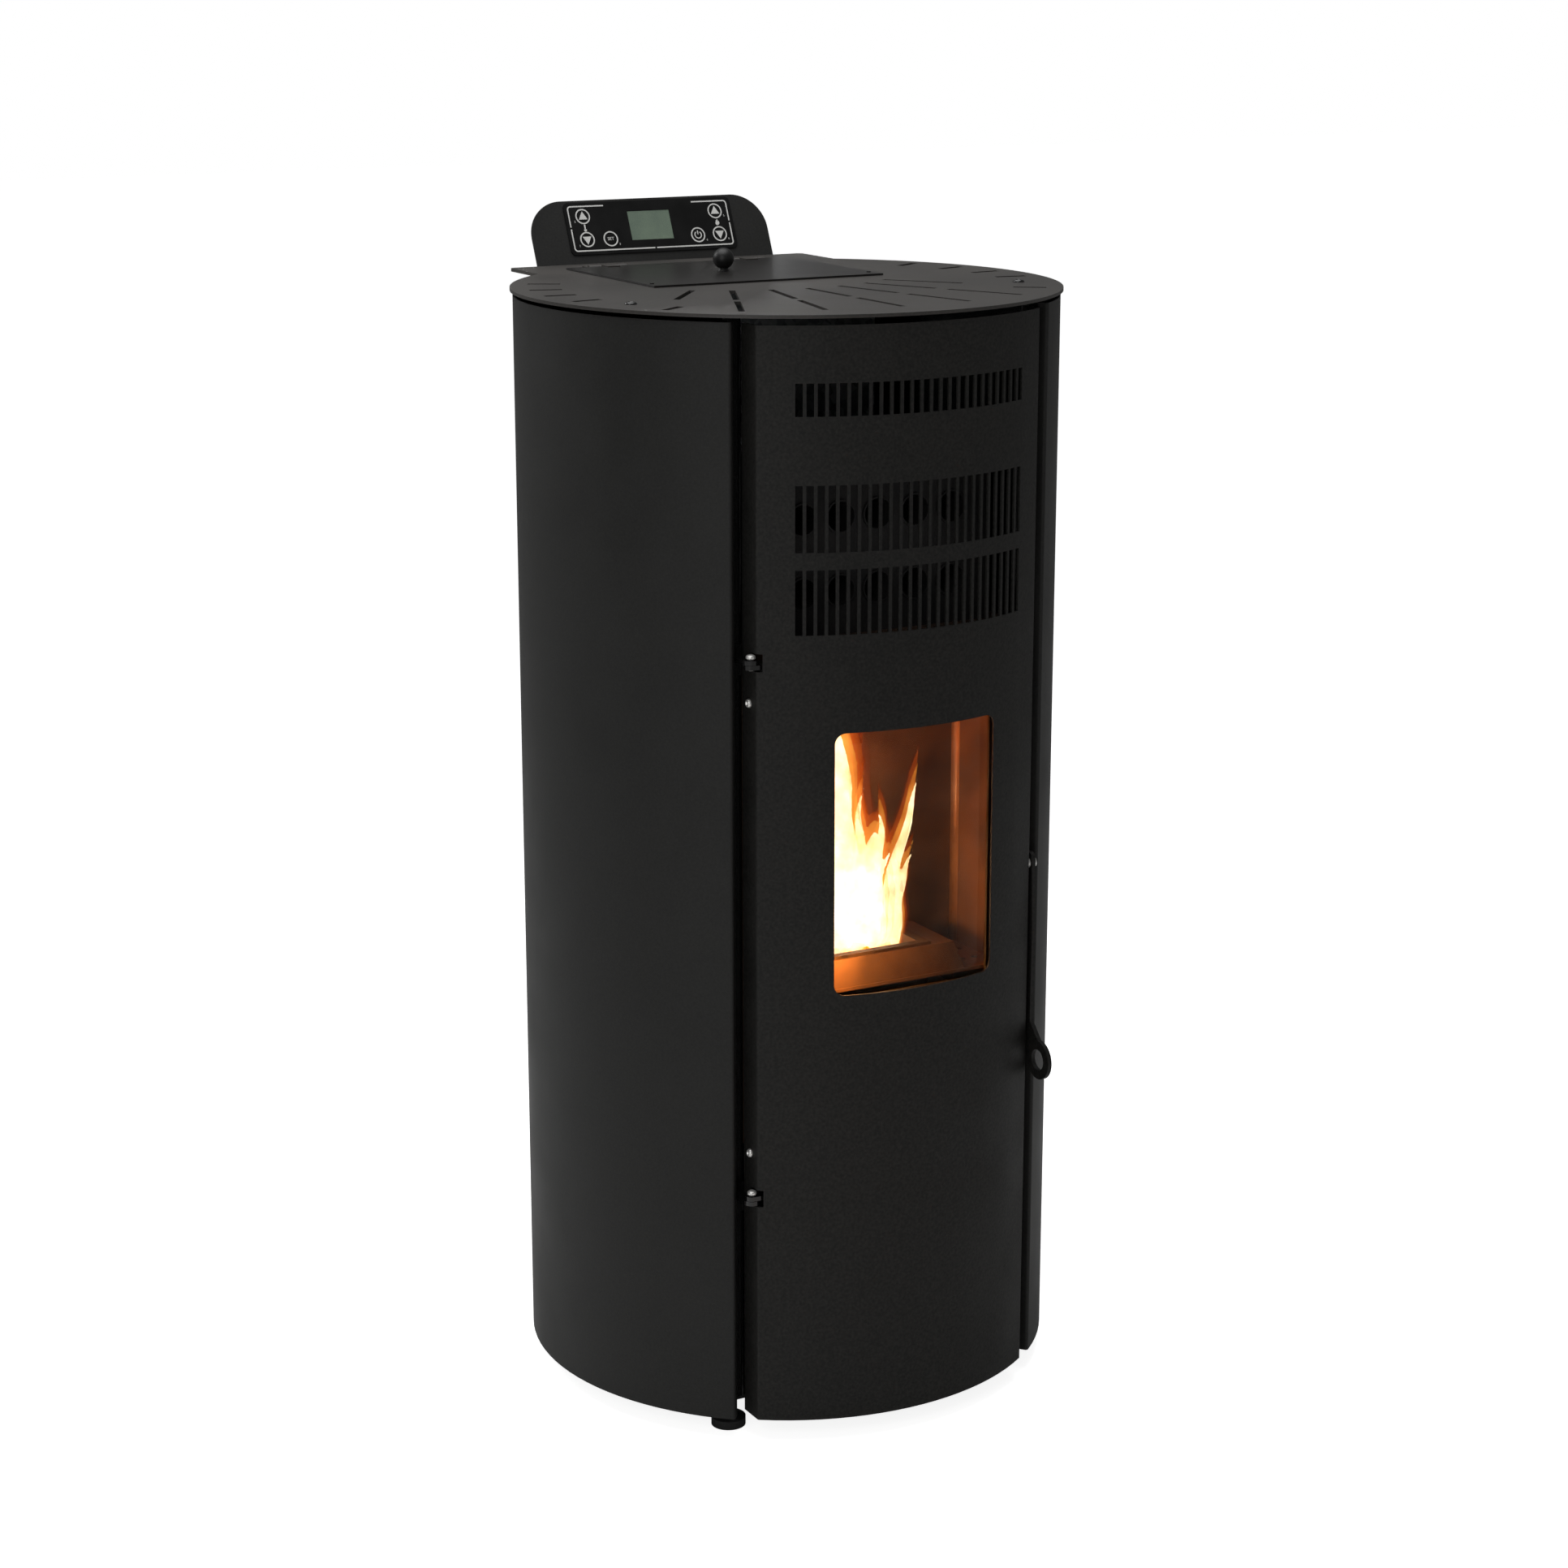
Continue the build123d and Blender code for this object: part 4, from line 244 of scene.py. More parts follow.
carriedOver = {
    "panelPaint": ["side_panel_right", "side_panel_left", "control_panel_plate"],
    "doorPaint": ["door_skin", "latch_lever"],
    "topPaint": ["top_plate", "lid_hinge_knuckles", "plate_hinge_knuckles"],
    # the lid's paint is the top's, drawn darker as painted shade
    "shadedLidPaint": ["hopper_lid"],
    "glossEnamel": ["chassis_right", "chassis_left", "hinge_lugs", "latch_stud", "door_hinge_brackets"],
    "sheetPaint": ["rear_panel", "base_plate"],
    "zincSteel": ["lid_hinge_pins", "foot_nuts", "igniter_sleeve", "igniter", "auger_tube", "auger_screw",
                  "air_intake", "room_fan_wheel", "smoke_impeller"],
    "nickelPlate": ["latch_bolt"],
    "heatSteel": ["firebox", "firebox_floor", "pot_stand", "pellet_chute", "ash_drawer"],
    "scaledPlate": ["exchanger_shell", "exchanger_tubes", "smoke_duct", "smoke_fan_case", "flue_outlet",
                    "door_inner_frame", "glass_retainers"],
    "castIron": ["burn_pot"],
    "phenolic": ["lid_knob"],
    "keypadFilm": ["display_bezel", "power_rocker"],
    "displayGlass": ["lcd_screen"],
    "mouldedPlastic": ["display_casing", "control_board", "mains_inlet", "levelling_feet"],
}


def paintNode(name, material):
    # a CAD node keeps its mesh and takes the material in its object's slots
    for slot in nodes[name].material_slots:
        slot.link = "OBJECT"
        slot.material = material


for finish, names in carriedOver.items():
    for name in names:
        paintNode(name, paints[finish])
for name in ("hopper", "air_duct", "room_fan_case"):
    paintNode(name, galvanised)
for name in ("smoke_fan_motor", "room_fan_motor", "auger_motor"):
    paintNode(name, laminated)
paintNode("door_glass", glassPane)
print("finishes set on the carried-over nodes")


# helpers for new pieces
def gridFaces(rows, columns, closedRows=False, closedColumns=False):
    # quads over a grid of points numbered row by row, wrapping round where it is closed
    r = np.arange(rows if closedRows else rows - 1)
    c = np.arange(columns if closedColumns else columns - 1)
    a, b = np.meshgrid(r, c, indexing="ij")
    nextA, nextB = (a + 1) % rows, (b + 1) % columns
    quads = np.stack([a * columns + b, a * columns + nextB, nextA * columns + nextB, nextA * columns + b], axis=-1)
    return quads.reshape(-1, 4)


def cappedTubes(rings, around, copies=1):
    # faces of tubes closed by flat ends, whose points follow each other ring by ring
    each = rings * around
    one = gridFaces(rings, around, closedColumns=True).tolist()
    one += [list(range(around))[::-1], list(range(each - around, each))]
    return [[i + each * k for i in loop] for k in range(copies) for loop in one]


def joinParts(parts):
    # several (points, faces) as one, each part's faces numbered on from the parts before it
    starts = np.cumsum([0] + [len(points) for points, loops in parts])
    faces = [[int(i + start) for i in loop] for (points, loops), start in zip(parts, starts) for loop in loops]
    return np.vstack([points for points, loops in parts]), faces


# points nearer than this become one, and CAD vertices that agree to this many decimals are at one place
mergeDistance = 0.000002
placeDecimals = 5


def facesOutward(mesh):
    # closes poles by merging their points, then turns every closed shell's faces outwards
    shape = bmesh.new()
    shape.from_mesh(mesh)
    bmesh.ops.remove_doubles(shape, verts=shape.verts, dist=mergeDistance)
    bmesh.ops.recalc_face_normals(shape, faces=shape.faces)
    shape.to_mesh(mesh)
    shape.free()


def newPiece(name, points, faces, material, body, slot=None, smooth=True):
    # a closed mesh from arrays, at the origin, riding on its body
    mesh = bpy.data.meshes.new(name)
    mesh.from_pydata(np.asarray(points, float).reshape(-1, 3).tolist(), [], [list(map(int, f)) for f in faces])
    mesh.validate()
    mesh.materials.append(material)
    mesh.polygons.foreach_set("use_smooth", np.full(len(mesh.polygons), smooth))
    facesOutward(mesh)
    mesh.update()
    item = bpy.data.objects.new(name, mesh)
    scene.collection.objects.link(item)
    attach(item, body)
    return item


def topMiddle(low, high):
    # the middle of a box's top
    return np.array([(low.x + high.x) / 2, (low.y + high.y) / 2, high.z])


def meshPoints(mesh):
    # a mesh's vertices as an array
    flat = np.zeros(len(mesh.vertices) * 3, np.float32)
    mesh.vertices.foreach_get("co", flat)
    return flat.reshape(-1, 3).astype(float)


def solidGroups(name):
    # splits a node's vertices into its separate solids: vertices at one place count as one, and every triangle hands
    # its corners their lowest number until none changes
    mesh = nodes[name].data
    points = meshPoints(mesh)
    corners = np.zeros(len(mesh.loops), np.int32)
    mesh.loops.foreach_get("vertex_index", corners)
    place = np.unique(np.round(points, placeDecimals), axis=0, return_inverse=True)[1].ravel()
    triangles = place[corners].reshape(-1, 3)
    number, before = np.arange(place.max() + 1), None
    while before is None or (number != before).any():
        before = number.copy()
        np.minimum.at(number, triangles.ravel(), np.repeat(before[triangles].min(1), 3))
    return [points[number[place] == n] for n in np.unique(number)]


# domed heads in place of the plain ones: tail and socket are shares of the head's radius, the socket's lip and walls
# are shares of the socket, and edge, lipHeight, socketDeep and cone are shares of the head's height; a tail shorter
# than leastTail, in metres, is left out, and lipHexagon is how far the socket is already a hexagon at its lip
screwHead = {"round": 40, "domeSteps": 8, "leastTail": 0.0001, "tail": 0.57, "socket": 0.42, "lip": 1.15,
             "walls": (0.98, 0.96), "edge": 0.12, "lipHeight": 0.96, "socketDeep": 0.45, "cone": 0.06,
             "lipHexagon": 0.8}
rearFaceY = 0.2165  # case screws behind this are on the rear panel


def spunAbout(axis, seat, radii, ups, spokes):
    # a profile of radii and heights spun about an axis; spokes swells or shrinks each ring by the angle
    axis = np.array(axis, float) / np.linalg.norm(axis)
    side = np.cross(axis, (0, 0, 1) if abs(axis[2]) < 0.9 else (1, 0, 0))
    side /= np.linalg.norm(side)
    angle = np.linspace(0, 2 * np.pi, spokes.shape[1], endpoint=False)
    ring = np.cos(angle)[:, None] * side + np.sin(angle)[:, None] * np.cross(axis, side)
    points = np.asarray(seat) + (np.array(radii)[:, None] * spokes)[:, :, None] * ring[None]
    points = points + np.array(ups)[:, None, None] * axis
    return points.reshape(-1, 3), gridFaces(len(radii), spokes.shape[1], closedColumns=True)


def domedHead(seat, axis, radius, rise, tail, look):
    # tail up to the seat where there is one, flat underside, dome as a quarter of an ellipse, then a hexagon socket:
    # inside it the radius is the flat distance over the cosine of the angle to the flat's middle
    stem, socket = look["tail"] * radius, look["socket"] * radius
    lip, floor = look["lip"] * socket, 1 - look["socketDeep"]
    dome = np.linspace(0, np.pi / 2, look["domeSteps"])
    radii, ups = ([0.0, stem, stem], [-tail, -tail, 0.0]) if tail > look["leastTail"] else ([0.0], [0.0])
    radii += [radius] + list(lip + (radius - lip) * np.cos(dome)) + [wall * socket for wall in look["walls"]] + [0.0]
    ups += [0.0] + list(rise * (look["edge"] + (1 - look["edge"]) * np.sin(dome)))
    ups += [rise * look["lipHeight"], rise * floor, rise * (floor - look["cone"])]
    angle = np.linspace(0, 2 * np.pi, look["round"], endpoint=False)
    hexagon = 1 / np.cos((angle % (np.pi / 3)) - np.pi / 6)
    share = np.array([0.0] * (len(radii) - 3) + [look["lipHexagon"], 1.0, 1.0])
    return spunAbout(axis, seat, radii, ups, 1 + share[:, None] * (hexagon[None, :] - 1))


def replaceHeads(node, piece, material, body, slot, outward, rise, proud=0.0):
    # a group of domed heads where the node has its plain ones: outward says which way each faces, rise how high
    # it is in shares of its radius, and proud how much further it stands out
    parts = []
    for group in solidGroups(node):
        middle = (group.min(0) + group.max(0)) / 2
        axis = np.array(outward(middle), float)
        along = (group - middle) @ axis
        radius = np.sqrt(((group - middle) ** 2).sum(1) - along ** 2).max()
        high = rise * radius
        up = along.max() + proud - high
        parts.append(domedHead(middle + axis * up, axis, radius, high, max(0.0, up - along.min()), screwHead))
    item = newPiece(piece, *joinParts(parts), material, body, slot)
    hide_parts(node)


replaceHeads("door_screws", "doorPanScrews", paints["nickelPlate"], "door", "bright_steel",
             lambda m: (-1, 0, 0), rise=0.75, proud=0.0014)
replaceHeads("case_screws", "caseButtonScrews", paints["zincSteel"], "stove", "galvanised",
             lambda m: (0, 1, 0) if m[1] > rearFaceY else (np.sign(m[0]), 0, 0), rise=0.4)
replaceHeads("top_plate_bolts", "topButtonBolts", paints["glossEnamel"], "stove", "top_paint",
             lambda m: (0, 0, 1), rise=0.4)

# hinge pins in metres; rim is a share of the cap's height, and the chamfer under the head a share of its radius and
# a height
turnedPin = {"shank": 0.003, "head": 0.0043, "capHeight": 0.004, "rim": 0.62, "chamfer": (0.96, 0.0003),
             "footRise": 0.001, "domeSteps": 9, "footSteps": 5, "round": 40}


def turnedPins(look):
    # each hinge pin: rounded foot, shank, then a domed head whose radius falls as a quarter of an ellipse
    dome, foot = (np.linspace(0, np.pi / 2, look[steps]) for steps in ("domeSteps", "footSteps"))
    (narrow, chamfer), shank, head = look["chamfer"], look["shank"], look["head"]
    parts = []
    for group in solidGroups("hinge_pins"):
        low, high = group.min(0), group.max(0)
        radii = list(shank * np.sin(foot)) + [shank, head * narrow, head] + list(head * np.cos(dome))
        under, rim = high[2] - look["capHeight"], high[2] - look["capHeight"] * look["rim"]
        ups = list(low[2] + look["footRise"] * (1 - np.cos(foot))) + [under, under, under + chamfer]
        ups += list(rim + (high[2] - rim) * np.sin(dome))
        seat = ((low[0] + high[0]) / 2, (low[1] + high[1]) / 2, 0)
        parts.append(spunAbout((0, 0, 1), seat, radii, ups, np.ones((len(radii), look["round"]))))
    item = newPiece("turnedHingePins", *joinParts(parts), paints["nickelPlate"], "stove", "bright_steel")
    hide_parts("hinge_pins")


turnedPins(turnedPin)
print("screws and pins made")


# paths of the seals, in the plane of the door
def evenSteps(halfX, halfZ, corner, count):
    # equal steps round a rectangle with quarter-circle corners: which of its eight stretches, and how far along it
    side = [2 * (halfZ - corner), 2 * (halfX - corner)]
    lengths = np.array([side[0], corner * np.pi / 2, side[1], corner * np.pi / 2] * 2)
    ends = np.concatenate([[0], np.cumsum(lengths)])
    s = np.linspace(0, ends[-1], count, endpoint=False)
    part = np.clip(np.searchsorted(ends, s, side="right") - 1, 0, 7)
    return part, (s - ends[part]) / lengths[part], ends[-1]


def rectanglePath(halfX, halfZ, corner, part, t):
    # point = corner centre (or a point between two of them) + corner radius along the outward normal
    a, b = halfX - corner, halfZ - corner
    centres = np.array([(a, b), (-a, b), (-a, -b), (a, -b)])
    quarter, onArc = part // 2, (part % 2)[:, None]
    angle = (quarter + onArc[:, 0] * t) * np.pi / 2
    start, end = centres[(quarter - 1) % 4], centres[quarter]
    centre = np.where(onArc == 1, end, start + (end - start) * t[:, None])
    normal = np.stack([np.cos(angle), np.sin(angle)], axis=1)
    return centre + corner * normal, normal


# door rope in metres; relief and sharpness of its braid, its fit in the CAD seal's thickness and how far the squared
# circle reaches into its corners are shares
ropeSeal = {"corner": 0.014, "pitch": 0.019, "strands": 8, "relief": 0.09, "sharp": 0.6, "fit": 0.985,
            "reach": 1.12, "steps": 1150, "round": 36}


def braidedRope(look):
    # closed rope: a squared circle round the frame's path, its radius raised where two sets of strands,
    # cos(n a + k s) and cos(n a - k s), cross each other
    low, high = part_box("door_gasket")
    thick = (high.y - low.y) / 2
    halfX, halfZ = (high.x - low.x) / 2 - thick, (high.z - low.z) / 2 - thick
    part, t, length = evenSteps(halfX, halfZ, look["corner"], look["steps"])
    path, normal = rectanglePath(halfX, halfZ, look["corner"], part, t)
    turns = round(length / look["pitch"])
    s = np.linspace(0, 2 * np.pi * turns, look["steps"], endpoint=False)[:, None]
    a = np.linspace(0, 2 * np.pi, look["round"], endpoint=False)[None, :]
    n, reach = look["strands"] / 2, look["reach"]
    weave = np.abs(np.cos(n * a + s) * np.cos(n * a - s)) ** look["sharp"]
    square = (np.abs(np.cos(a)) ** 3 + np.abs(np.sin(a)) ** 3) ** (-1 / 3)
    radius = thick * look["fit"] * np.minimum(square, reach) / reach * (1 - look["relief"] * (1 - weave))
    out, along = radius * np.cos(a), radius * np.sin(a)
    middle = (low + high) / 2
    points = np.stack([middle.x + path[:, :1] + out * normal[:, :1], middle.y + along,
                       middle.z + path[:, 1:] + out * normal[:, 1:]], axis=-1)
    item = newPiece("braidedDoorRope", points, gridFaces(look["steps"], look["round"], True, True),
                    paints["glassRope"], "door", "rope_seal")
    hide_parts("door_gasket")


# tape between door sheet and pane, in metres: radius of its middle, how far outside that its edge lies, half its
# thickness, half width and half height of its opening; fill and ripple are shares
glassSeal = {"middle": 0.247, "edge": 0.0009, "half": 0.00094, "axisY": -0.020, "corner": 0.010,
             "innerCorner": 0.007, "opening": (0.08505, 0.12185), "fill": 0.49, "thread": 0.0032, "ripple": 0.07,
             "steps": 420, "round": 12}


def wovenSeal(look):
    # flat tape between door and pane: from the inner to the outer rounded rectangle by the cosine of the section's
    # angle, a soft rectangle thick by its sine, then bent round the stove's axis (arc length over radius)
    low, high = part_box("glass_gasket")
    middle, half = look["middle"], look["half"]
    halfX = math.asin(high.x / (middle + look["edge"])) * middle
    halfZ = (high.z - low.z) / 2
    part, t, length = evenSteps(halfX, halfZ, look["corner"], look["steps"])
    outer = rectanglePath(halfX, halfZ, look["corner"], part, t)[0]
    inner = rectanglePath(*look["opening"], look["innerCorner"], part, t)[0]
    a = np.linspace(0, 2 * np.pi, look["round"], endpoint=False)[None, :]
    soft = (np.cos(a) ** 4 + np.sin(a) ** 4) ** -0.25
    across = (0.5 + look["fill"] * np.clip(soft * np.cos(a), -1, 1))[:, :, None]
    s = np.linspace(0, 2 * np.pi * round(length / look["thread"]), look["steps"], endpoint=False)[:, None]
    deep = np.clip(half * soft * np.sin(a), -half, half) * (1 - look["ripple"] * (1 - np.cos(s)))
    flat = inner[:, None, :] + (outer - inner)[:, None, :] * across
    radius, angle = middle + deep, flat[..., 0] / middle
    points = np.stack([radius * np.sin(angle), look["axisY"] - radius * np.cos(angle),
                       (low.z + high.z) / 2 + flat[..., 1]], axis=-1)
    item = newPiece("wovenGlassSeal", points, gridFaces(look["steps"], look["round"], True, True),
                    paints["glassRope"], "door", "rope_seal")
    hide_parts("glass_gasket")


braidedRope(ropeSeal)
wovenSeal(glassSeal)
print("seals made")

# bent corners of the firebox liner, in metres
linerCorner = {"halfWidth": 0.132, "back": -0.112, "low": 0.411, "high": 0.737, "bend": 0.006, "steps": 12}


def linerCorners(look):
    # a hollow quarter round carried up the corner: bend radius times one minus cosine and one minus sine
    t = np.linspace(0, np.pi / 2, look["steps"])
    bend = look["bend"]
    flat = np.vstack([[(0, 0)], np.stack([bend * (1 - np.sin(t)), bend * (1 - np.cos(t))], axis=1)])
    points = []
    for sign in (1, -1):
        x, y = sign * (look["halfWidth"] - flat[:, 0]), look["back"] - flat[:, 1]
        points += [np.stack([x, y, np.full(len(flat), z)], axis=1) for z in (look["low"], look["high"])]
    # the corners take the steel drawn lighter: a painted highlight along each bend
    newPiece("linerCorners", np.vstack(points), cappedTubes(2, len(flat), 2), paints["highlitBentSteel"], "stove",
             "firebox_steel")


linerCorners(linerCorner)
print("liner corners made")

# print on the keypad
keypad = {
    # film in metres and degrees: its left end, the panel's fold (y and z), tilt, distance up the slope and out of it
    "left": -0.091, "fold": (0.242, 1.029), "tilt": 24.0, "up": 0.012, "face": 0.0012,
    # print in millimetres from the film's lower left corner: ink's thickness, half width of a line, frame
    "ink": 0.08, "lineHalf": 0.65, "size": (182.0, 53.0), "inset": (4.3, 3.9), "corner": 3.0,
    "topEnds": (43, 139.5), "sideBreak": (26.2, 28.2), "lowBreak": (90.6, 92.6),
    # keys: middle, and which way an arrow points; an arrow's half width, foot below and tip above its middle
    "keyRadius": 7.1, "arrow": (4.7, 3.0, 5.2),
    "arrowKeys": [(19.0, 38.8, 1), (19.4, 15.3, -1), (163.8, 38.7, 1), (164.6, 15.0, -1)],
    "setKey": (44.5, 15.0), "powerKey": (140.3, 14.9),
    # power sign: ring's radius, first and last degree, points and half width, then its stroke's ends and half width
    "powerRing": (3.5, 125, 415, 26, 0.55), "powerStroke": (0.4, 4.4, 0.5),
    # thermometer: bulb's drop, radius and points, then its stem's ends and half width
    "thermometer": (19.2, 27.0), "bulb": (2.2, 1.5, 20), "stem": (-1.2, 3.6, 0.75),
    "fireSign": (164.2, 27.0),
    "flame": [(-0.6, -3.2), (1.5, -2.4), (2.3, -0.6), (1.7, 1.4), (0.9, 0.4), (0.5, 3.4), (-1.2, 1.6), (-2.2, -0.8),
              (-1.8, -2.4)],
    "setSize": 4.6, "numberSize": 3.0, "letterSteps": 4, "bendSteps": 9,
    "numbers": [("2", 9.6, 33.6), ("1", 10.2, 9.0), ("3", 53.4, 9.2), ("4", 149.2, 9.2), ("5", 173.0, 33.4),
                ("6", 173.6, 9.6)],
}


def onKeypad(points):
    # (u, w, h) in millimetres, along the film, up its slope and out of it, to metres in the stove's frame
    u, w, h = np.asarray(points, float).T / 1000
    slope = math.radians(keypad["tilt"])
    s = keypad["up"] + w
    out = keypad["face"] + h
    return np.stack([keypad["left"] + u, keypad["fold"][0] + s * math.sin(slope) - out * math.cos(slope),
                     keypad["fold"][1] + s * math.cos(slope) + out * math.sin(slope)], axis=1)


def inkLine(path, half, closed=False):
    # a printed line: four corners of a thin bar carried along a path in the film's plane
    path = np.asarray(path, float)
    if closed:
        ahead, behind = np.roll(path, -1, 0), np.roll(path, 1, 0)
    else:
        ahead, behind = np.vstack([path[1:], path[-1:]]), np.vstack([path[:1], path[:-1]])
    way = ahead - behind
    way /= np.linalg.norm(way, axis=1)[:, None]
    side = np.stack([-way[:, 1], way[:, 0]], axis=1) * half
    low, high = np.zeros(len(path)), np.full(len(path), keypad["ink"])
    corners = [np.column_stack([path + sign * side, h]) for sign, h in ((1, low), (1, high), (-1, high), (-1, low))]
    points = np.stack(corners, axis=1).reshape(-1, 3)
    faces = gridFaces(len(path), 4, closed, True).tolist()
    if not closed:
        last = 4 * (len(path) - 1)
        faces += [[0, 1, 2, 3], [last + 3, last + 2, last + 1, last]]
    return points, faces


def inkShape(outline):
    # a printed patch: its outline at the film and one ink's thickness above it
    outline = np.asarray(outline, float)
    n = len(outline)
    points = np.vstack([np.column_stack([outline, np.full(n, h)]) for h in (0, keypad["ink"])])
    return points, cappedTubes(2, n)


def inkLetters(text, u, w, size):
    # letters from Blender's own font, turned into a mesh with the ink's thickness
    curve = bpy.data.curves.new("legend", "FONT")
    curve.body, curve.align_x, curve.align_y = text, "CENTER", "CENTER"
    curve.extrude = keypad["ink"] / 2 / size
    curve.resolution_u = keypad["letterSteps"]
    holder = bpy.data.objects.new("legend", curve)
    scene.collection.objects.link(holder)
    mesh = bpy.data.meshes.new_from_object(holder.evaluated_get(bpy.context.evaluated_depsgraph_get()))
    points = meshPoints(mesh) * size + (u, w, keypad["ink"] / 2)
    faces = [list(p.vertices) for p in mesh.polygons]
    bpy.data.objects.remove(holder)
    bpy.data.curves.remove(curve)
    bpy.data.meshes.remove(mesh)
    return points, faces


def circleAt(u, w, radius, start=0.0, end=360.0, count=40):
    # points on a circle; a whole one leaves its last point out
    angle = np.radians(np.linspace(start, end, count, endpoint=abs(end - start) < 359.9))
    return np.stack([u + radius * np.cos(angle), w + radius * np.sin(angle)], axis=1)


def framePart(start, corner, end, radius):
    # a line that turns one rounded corner
    start, corner, end = (np.array(p, float) for p in (start, corner, end))
    inWay = (corner - start) / np.linalg.norm(corner - start)
    outWay = (end - corner) / np.linalg.norm(end - corner)
    t = np.linspace(0, np.pi / 2, keypad["bendSteps"])[:, None]
    bend = corner - inWay * radius * (1 - np.sin(t)) + outWay * radius * (1 - np.cos(t))
    return np.vstack([start, bend, end])


def keypadPrint():
    # every printed sign in one piece
    half = keypad["lineHalf"]
    (du, dw), (width, height) = keypad["inset"], keypad["size"]
    right, top = width - du, height - dw
    (topLeft, topRight), (low, high), (lowLeft, lowRight) = (keypad[k] for k in ("topEnds", "sideBreak", "lowBreak"))
    frameLines = [((topLeft, top), (du, top), (du, high)), ((du, low), (du, dw), (lowLeft, dw)),
                  ((lowRight, dw), (right, dw), (right, low)), ((right, high), (right, top), (topRight, top))]
    parts = [inkLine(framePart(*line, keypad["corner"]), half) for line in frameLines]
    for u, w in [k[:2] for k in keypad["arrowKeys"]] + [keypad["setKey"], keypad["powerKey"]]:
        parts.append(inkLine(circleAt(u, w, keypad["keyRadius"]), half, True))
    wide, foot, tip = keypad["arrow"]
    for u, w, way in keypad["arrowKeys"]:
        parts.append(inkShape([(u - wide, w - foot * way), (u + wide, w - foot * way), (u, w + tip * way)][::way]))
    (u, w), (radius, first, last, count, thick) = keypad["powerKey"], keypad["powerRing"]
    parts.append(inkLine(circleAt(u, w, radius, first, last, count), thick))
    start, end, thick = keypad["powerStroke"]
    parts.append(inkLine([(u, w + start), (u, w + end)], thick))
    (u, w), (drop, radius, count) = keypad["thermometer"], keypad["bulb"]
    parts.append(inkShape(circleAt(u, w - drop, radius, count=count)))
    start, end, thick = keypad["stem"]
    parts.append(inkLine([(u, w + start), (u, w + end)], thick))
    parts.append(inkShape(np.array(keypad["flame"]) + keypad["fireSign"]))
    parts.append(inkLetters("SET", *keypad["setKey"], keypad["setSize"]))
    parts += [inkLetters(text, u, w, keypad["numberSize"]) for text, u, w in keypad["numbers"]]
    points, faces = joinParts(parts)
    newPiece("keypadPrint", onKeypad(points), faces, paints["printInk"], "stove", smooth=False)


keypadPrint()
print("keypad print made")

# the fire, from the burn pot's rim, in millimetres
fire = {
    # tongues: foot x and y, lean x and y, height, half width, half depth, taper (small stays broad), phase
    "tongues": [(-17, 0, -7, 4, 263, 37, 24, 0.45, 0.3), (3, -2, 12, -2, 142, 40, 25, 0.62, 1.7),
                (20, 0, 5, 2, 168, 19, 16, 0.95, 2.2), (4, 6, 10, 4, 192, 17, 14, 0.90, 5.2),
                (31, 2, 40, 3, 198, 16, 12, 0.90, 2.9), (40, 0, 17, 0, 116, 13, 11, 0.80, 0.9),
                (10, -8, 22, 0, 128, 16, 10, 0.90, 5.9), (-38, 4, -24, 6, 190, 22, 15, 0.70, 4.1),
                (-46, 0, -8, 0, 92, 14, 12, 0.70, 3.6)],
    "rings": 40, "round": 28, "foot": -20.0, "voxel": 1.6,
    # layers from the outside in: name, width and height as shares, colour, edge colour, glow per metre of depth,
    # brightness and cover of the veil
    "gases": [("fireHalo", 1.32, 1.02, "#ff5a1c", "#e0400c", 5.0, 0.25, 0.04),
              ("fireOrange", 1.06, 1.0, "#ff7a28", "#ff5c12", 16.0, 0.6, 0.12),
              ("fireYellow", 0.86, 0.94, "#ffb652", "#ff9a36", 34.0, 1.0, 0.22),
              ("fireWhite", 0.66, 0.86, "#fff0d0", "#ffe2a6", 100.0, 2.4, 0.55)],
}


def flameTongue(tongue, wide, tall):
    # rings about a bent middle line; their size rises as height to 0.3 and closes as one minus height to the taper,
    # with ripples of sin(3a + 5v), sin(7a - 9v) and sin(11a + 26v)
    x, y, leanX, leanY, height, halfX, halfY, taper, phase = tongue
    v = np.linspace(0, 1, fire["rings"])[:, None]
    a = np.linspace(0, 2 * np.pi, fire["round"], endpoint=False)[None, :]
    size = (v + 0.01) ** 0.3 * (1.002 - v) ** taper * 1.3 * wide
    ripple = 1 + 0.10 * np.sin(3 * a + 5 * v + phase) + 0.07 * np.sin(7 * a - 9 * v + 2 * phase)
    ripple = ripple + 0.05 * np.sin(11 * a + 26 * v + 5 * phase)
    sway = (5 * np.sin(7 * v + phase) + 2.5 * np.sin(17 * v + 3 * phase)) * v
    points = np.stack([x + leanX * v ** 1.7 + sway + halfX * size * ripple * np.cos(a),
                       y + leanY * v + 0.5 * sway + halfY * size * ripple * np.sin(a),
                       fire["foot"] + height * tall * v + 0 * a], axis=-1)
    return points.reshape(-1, 3) / 1000


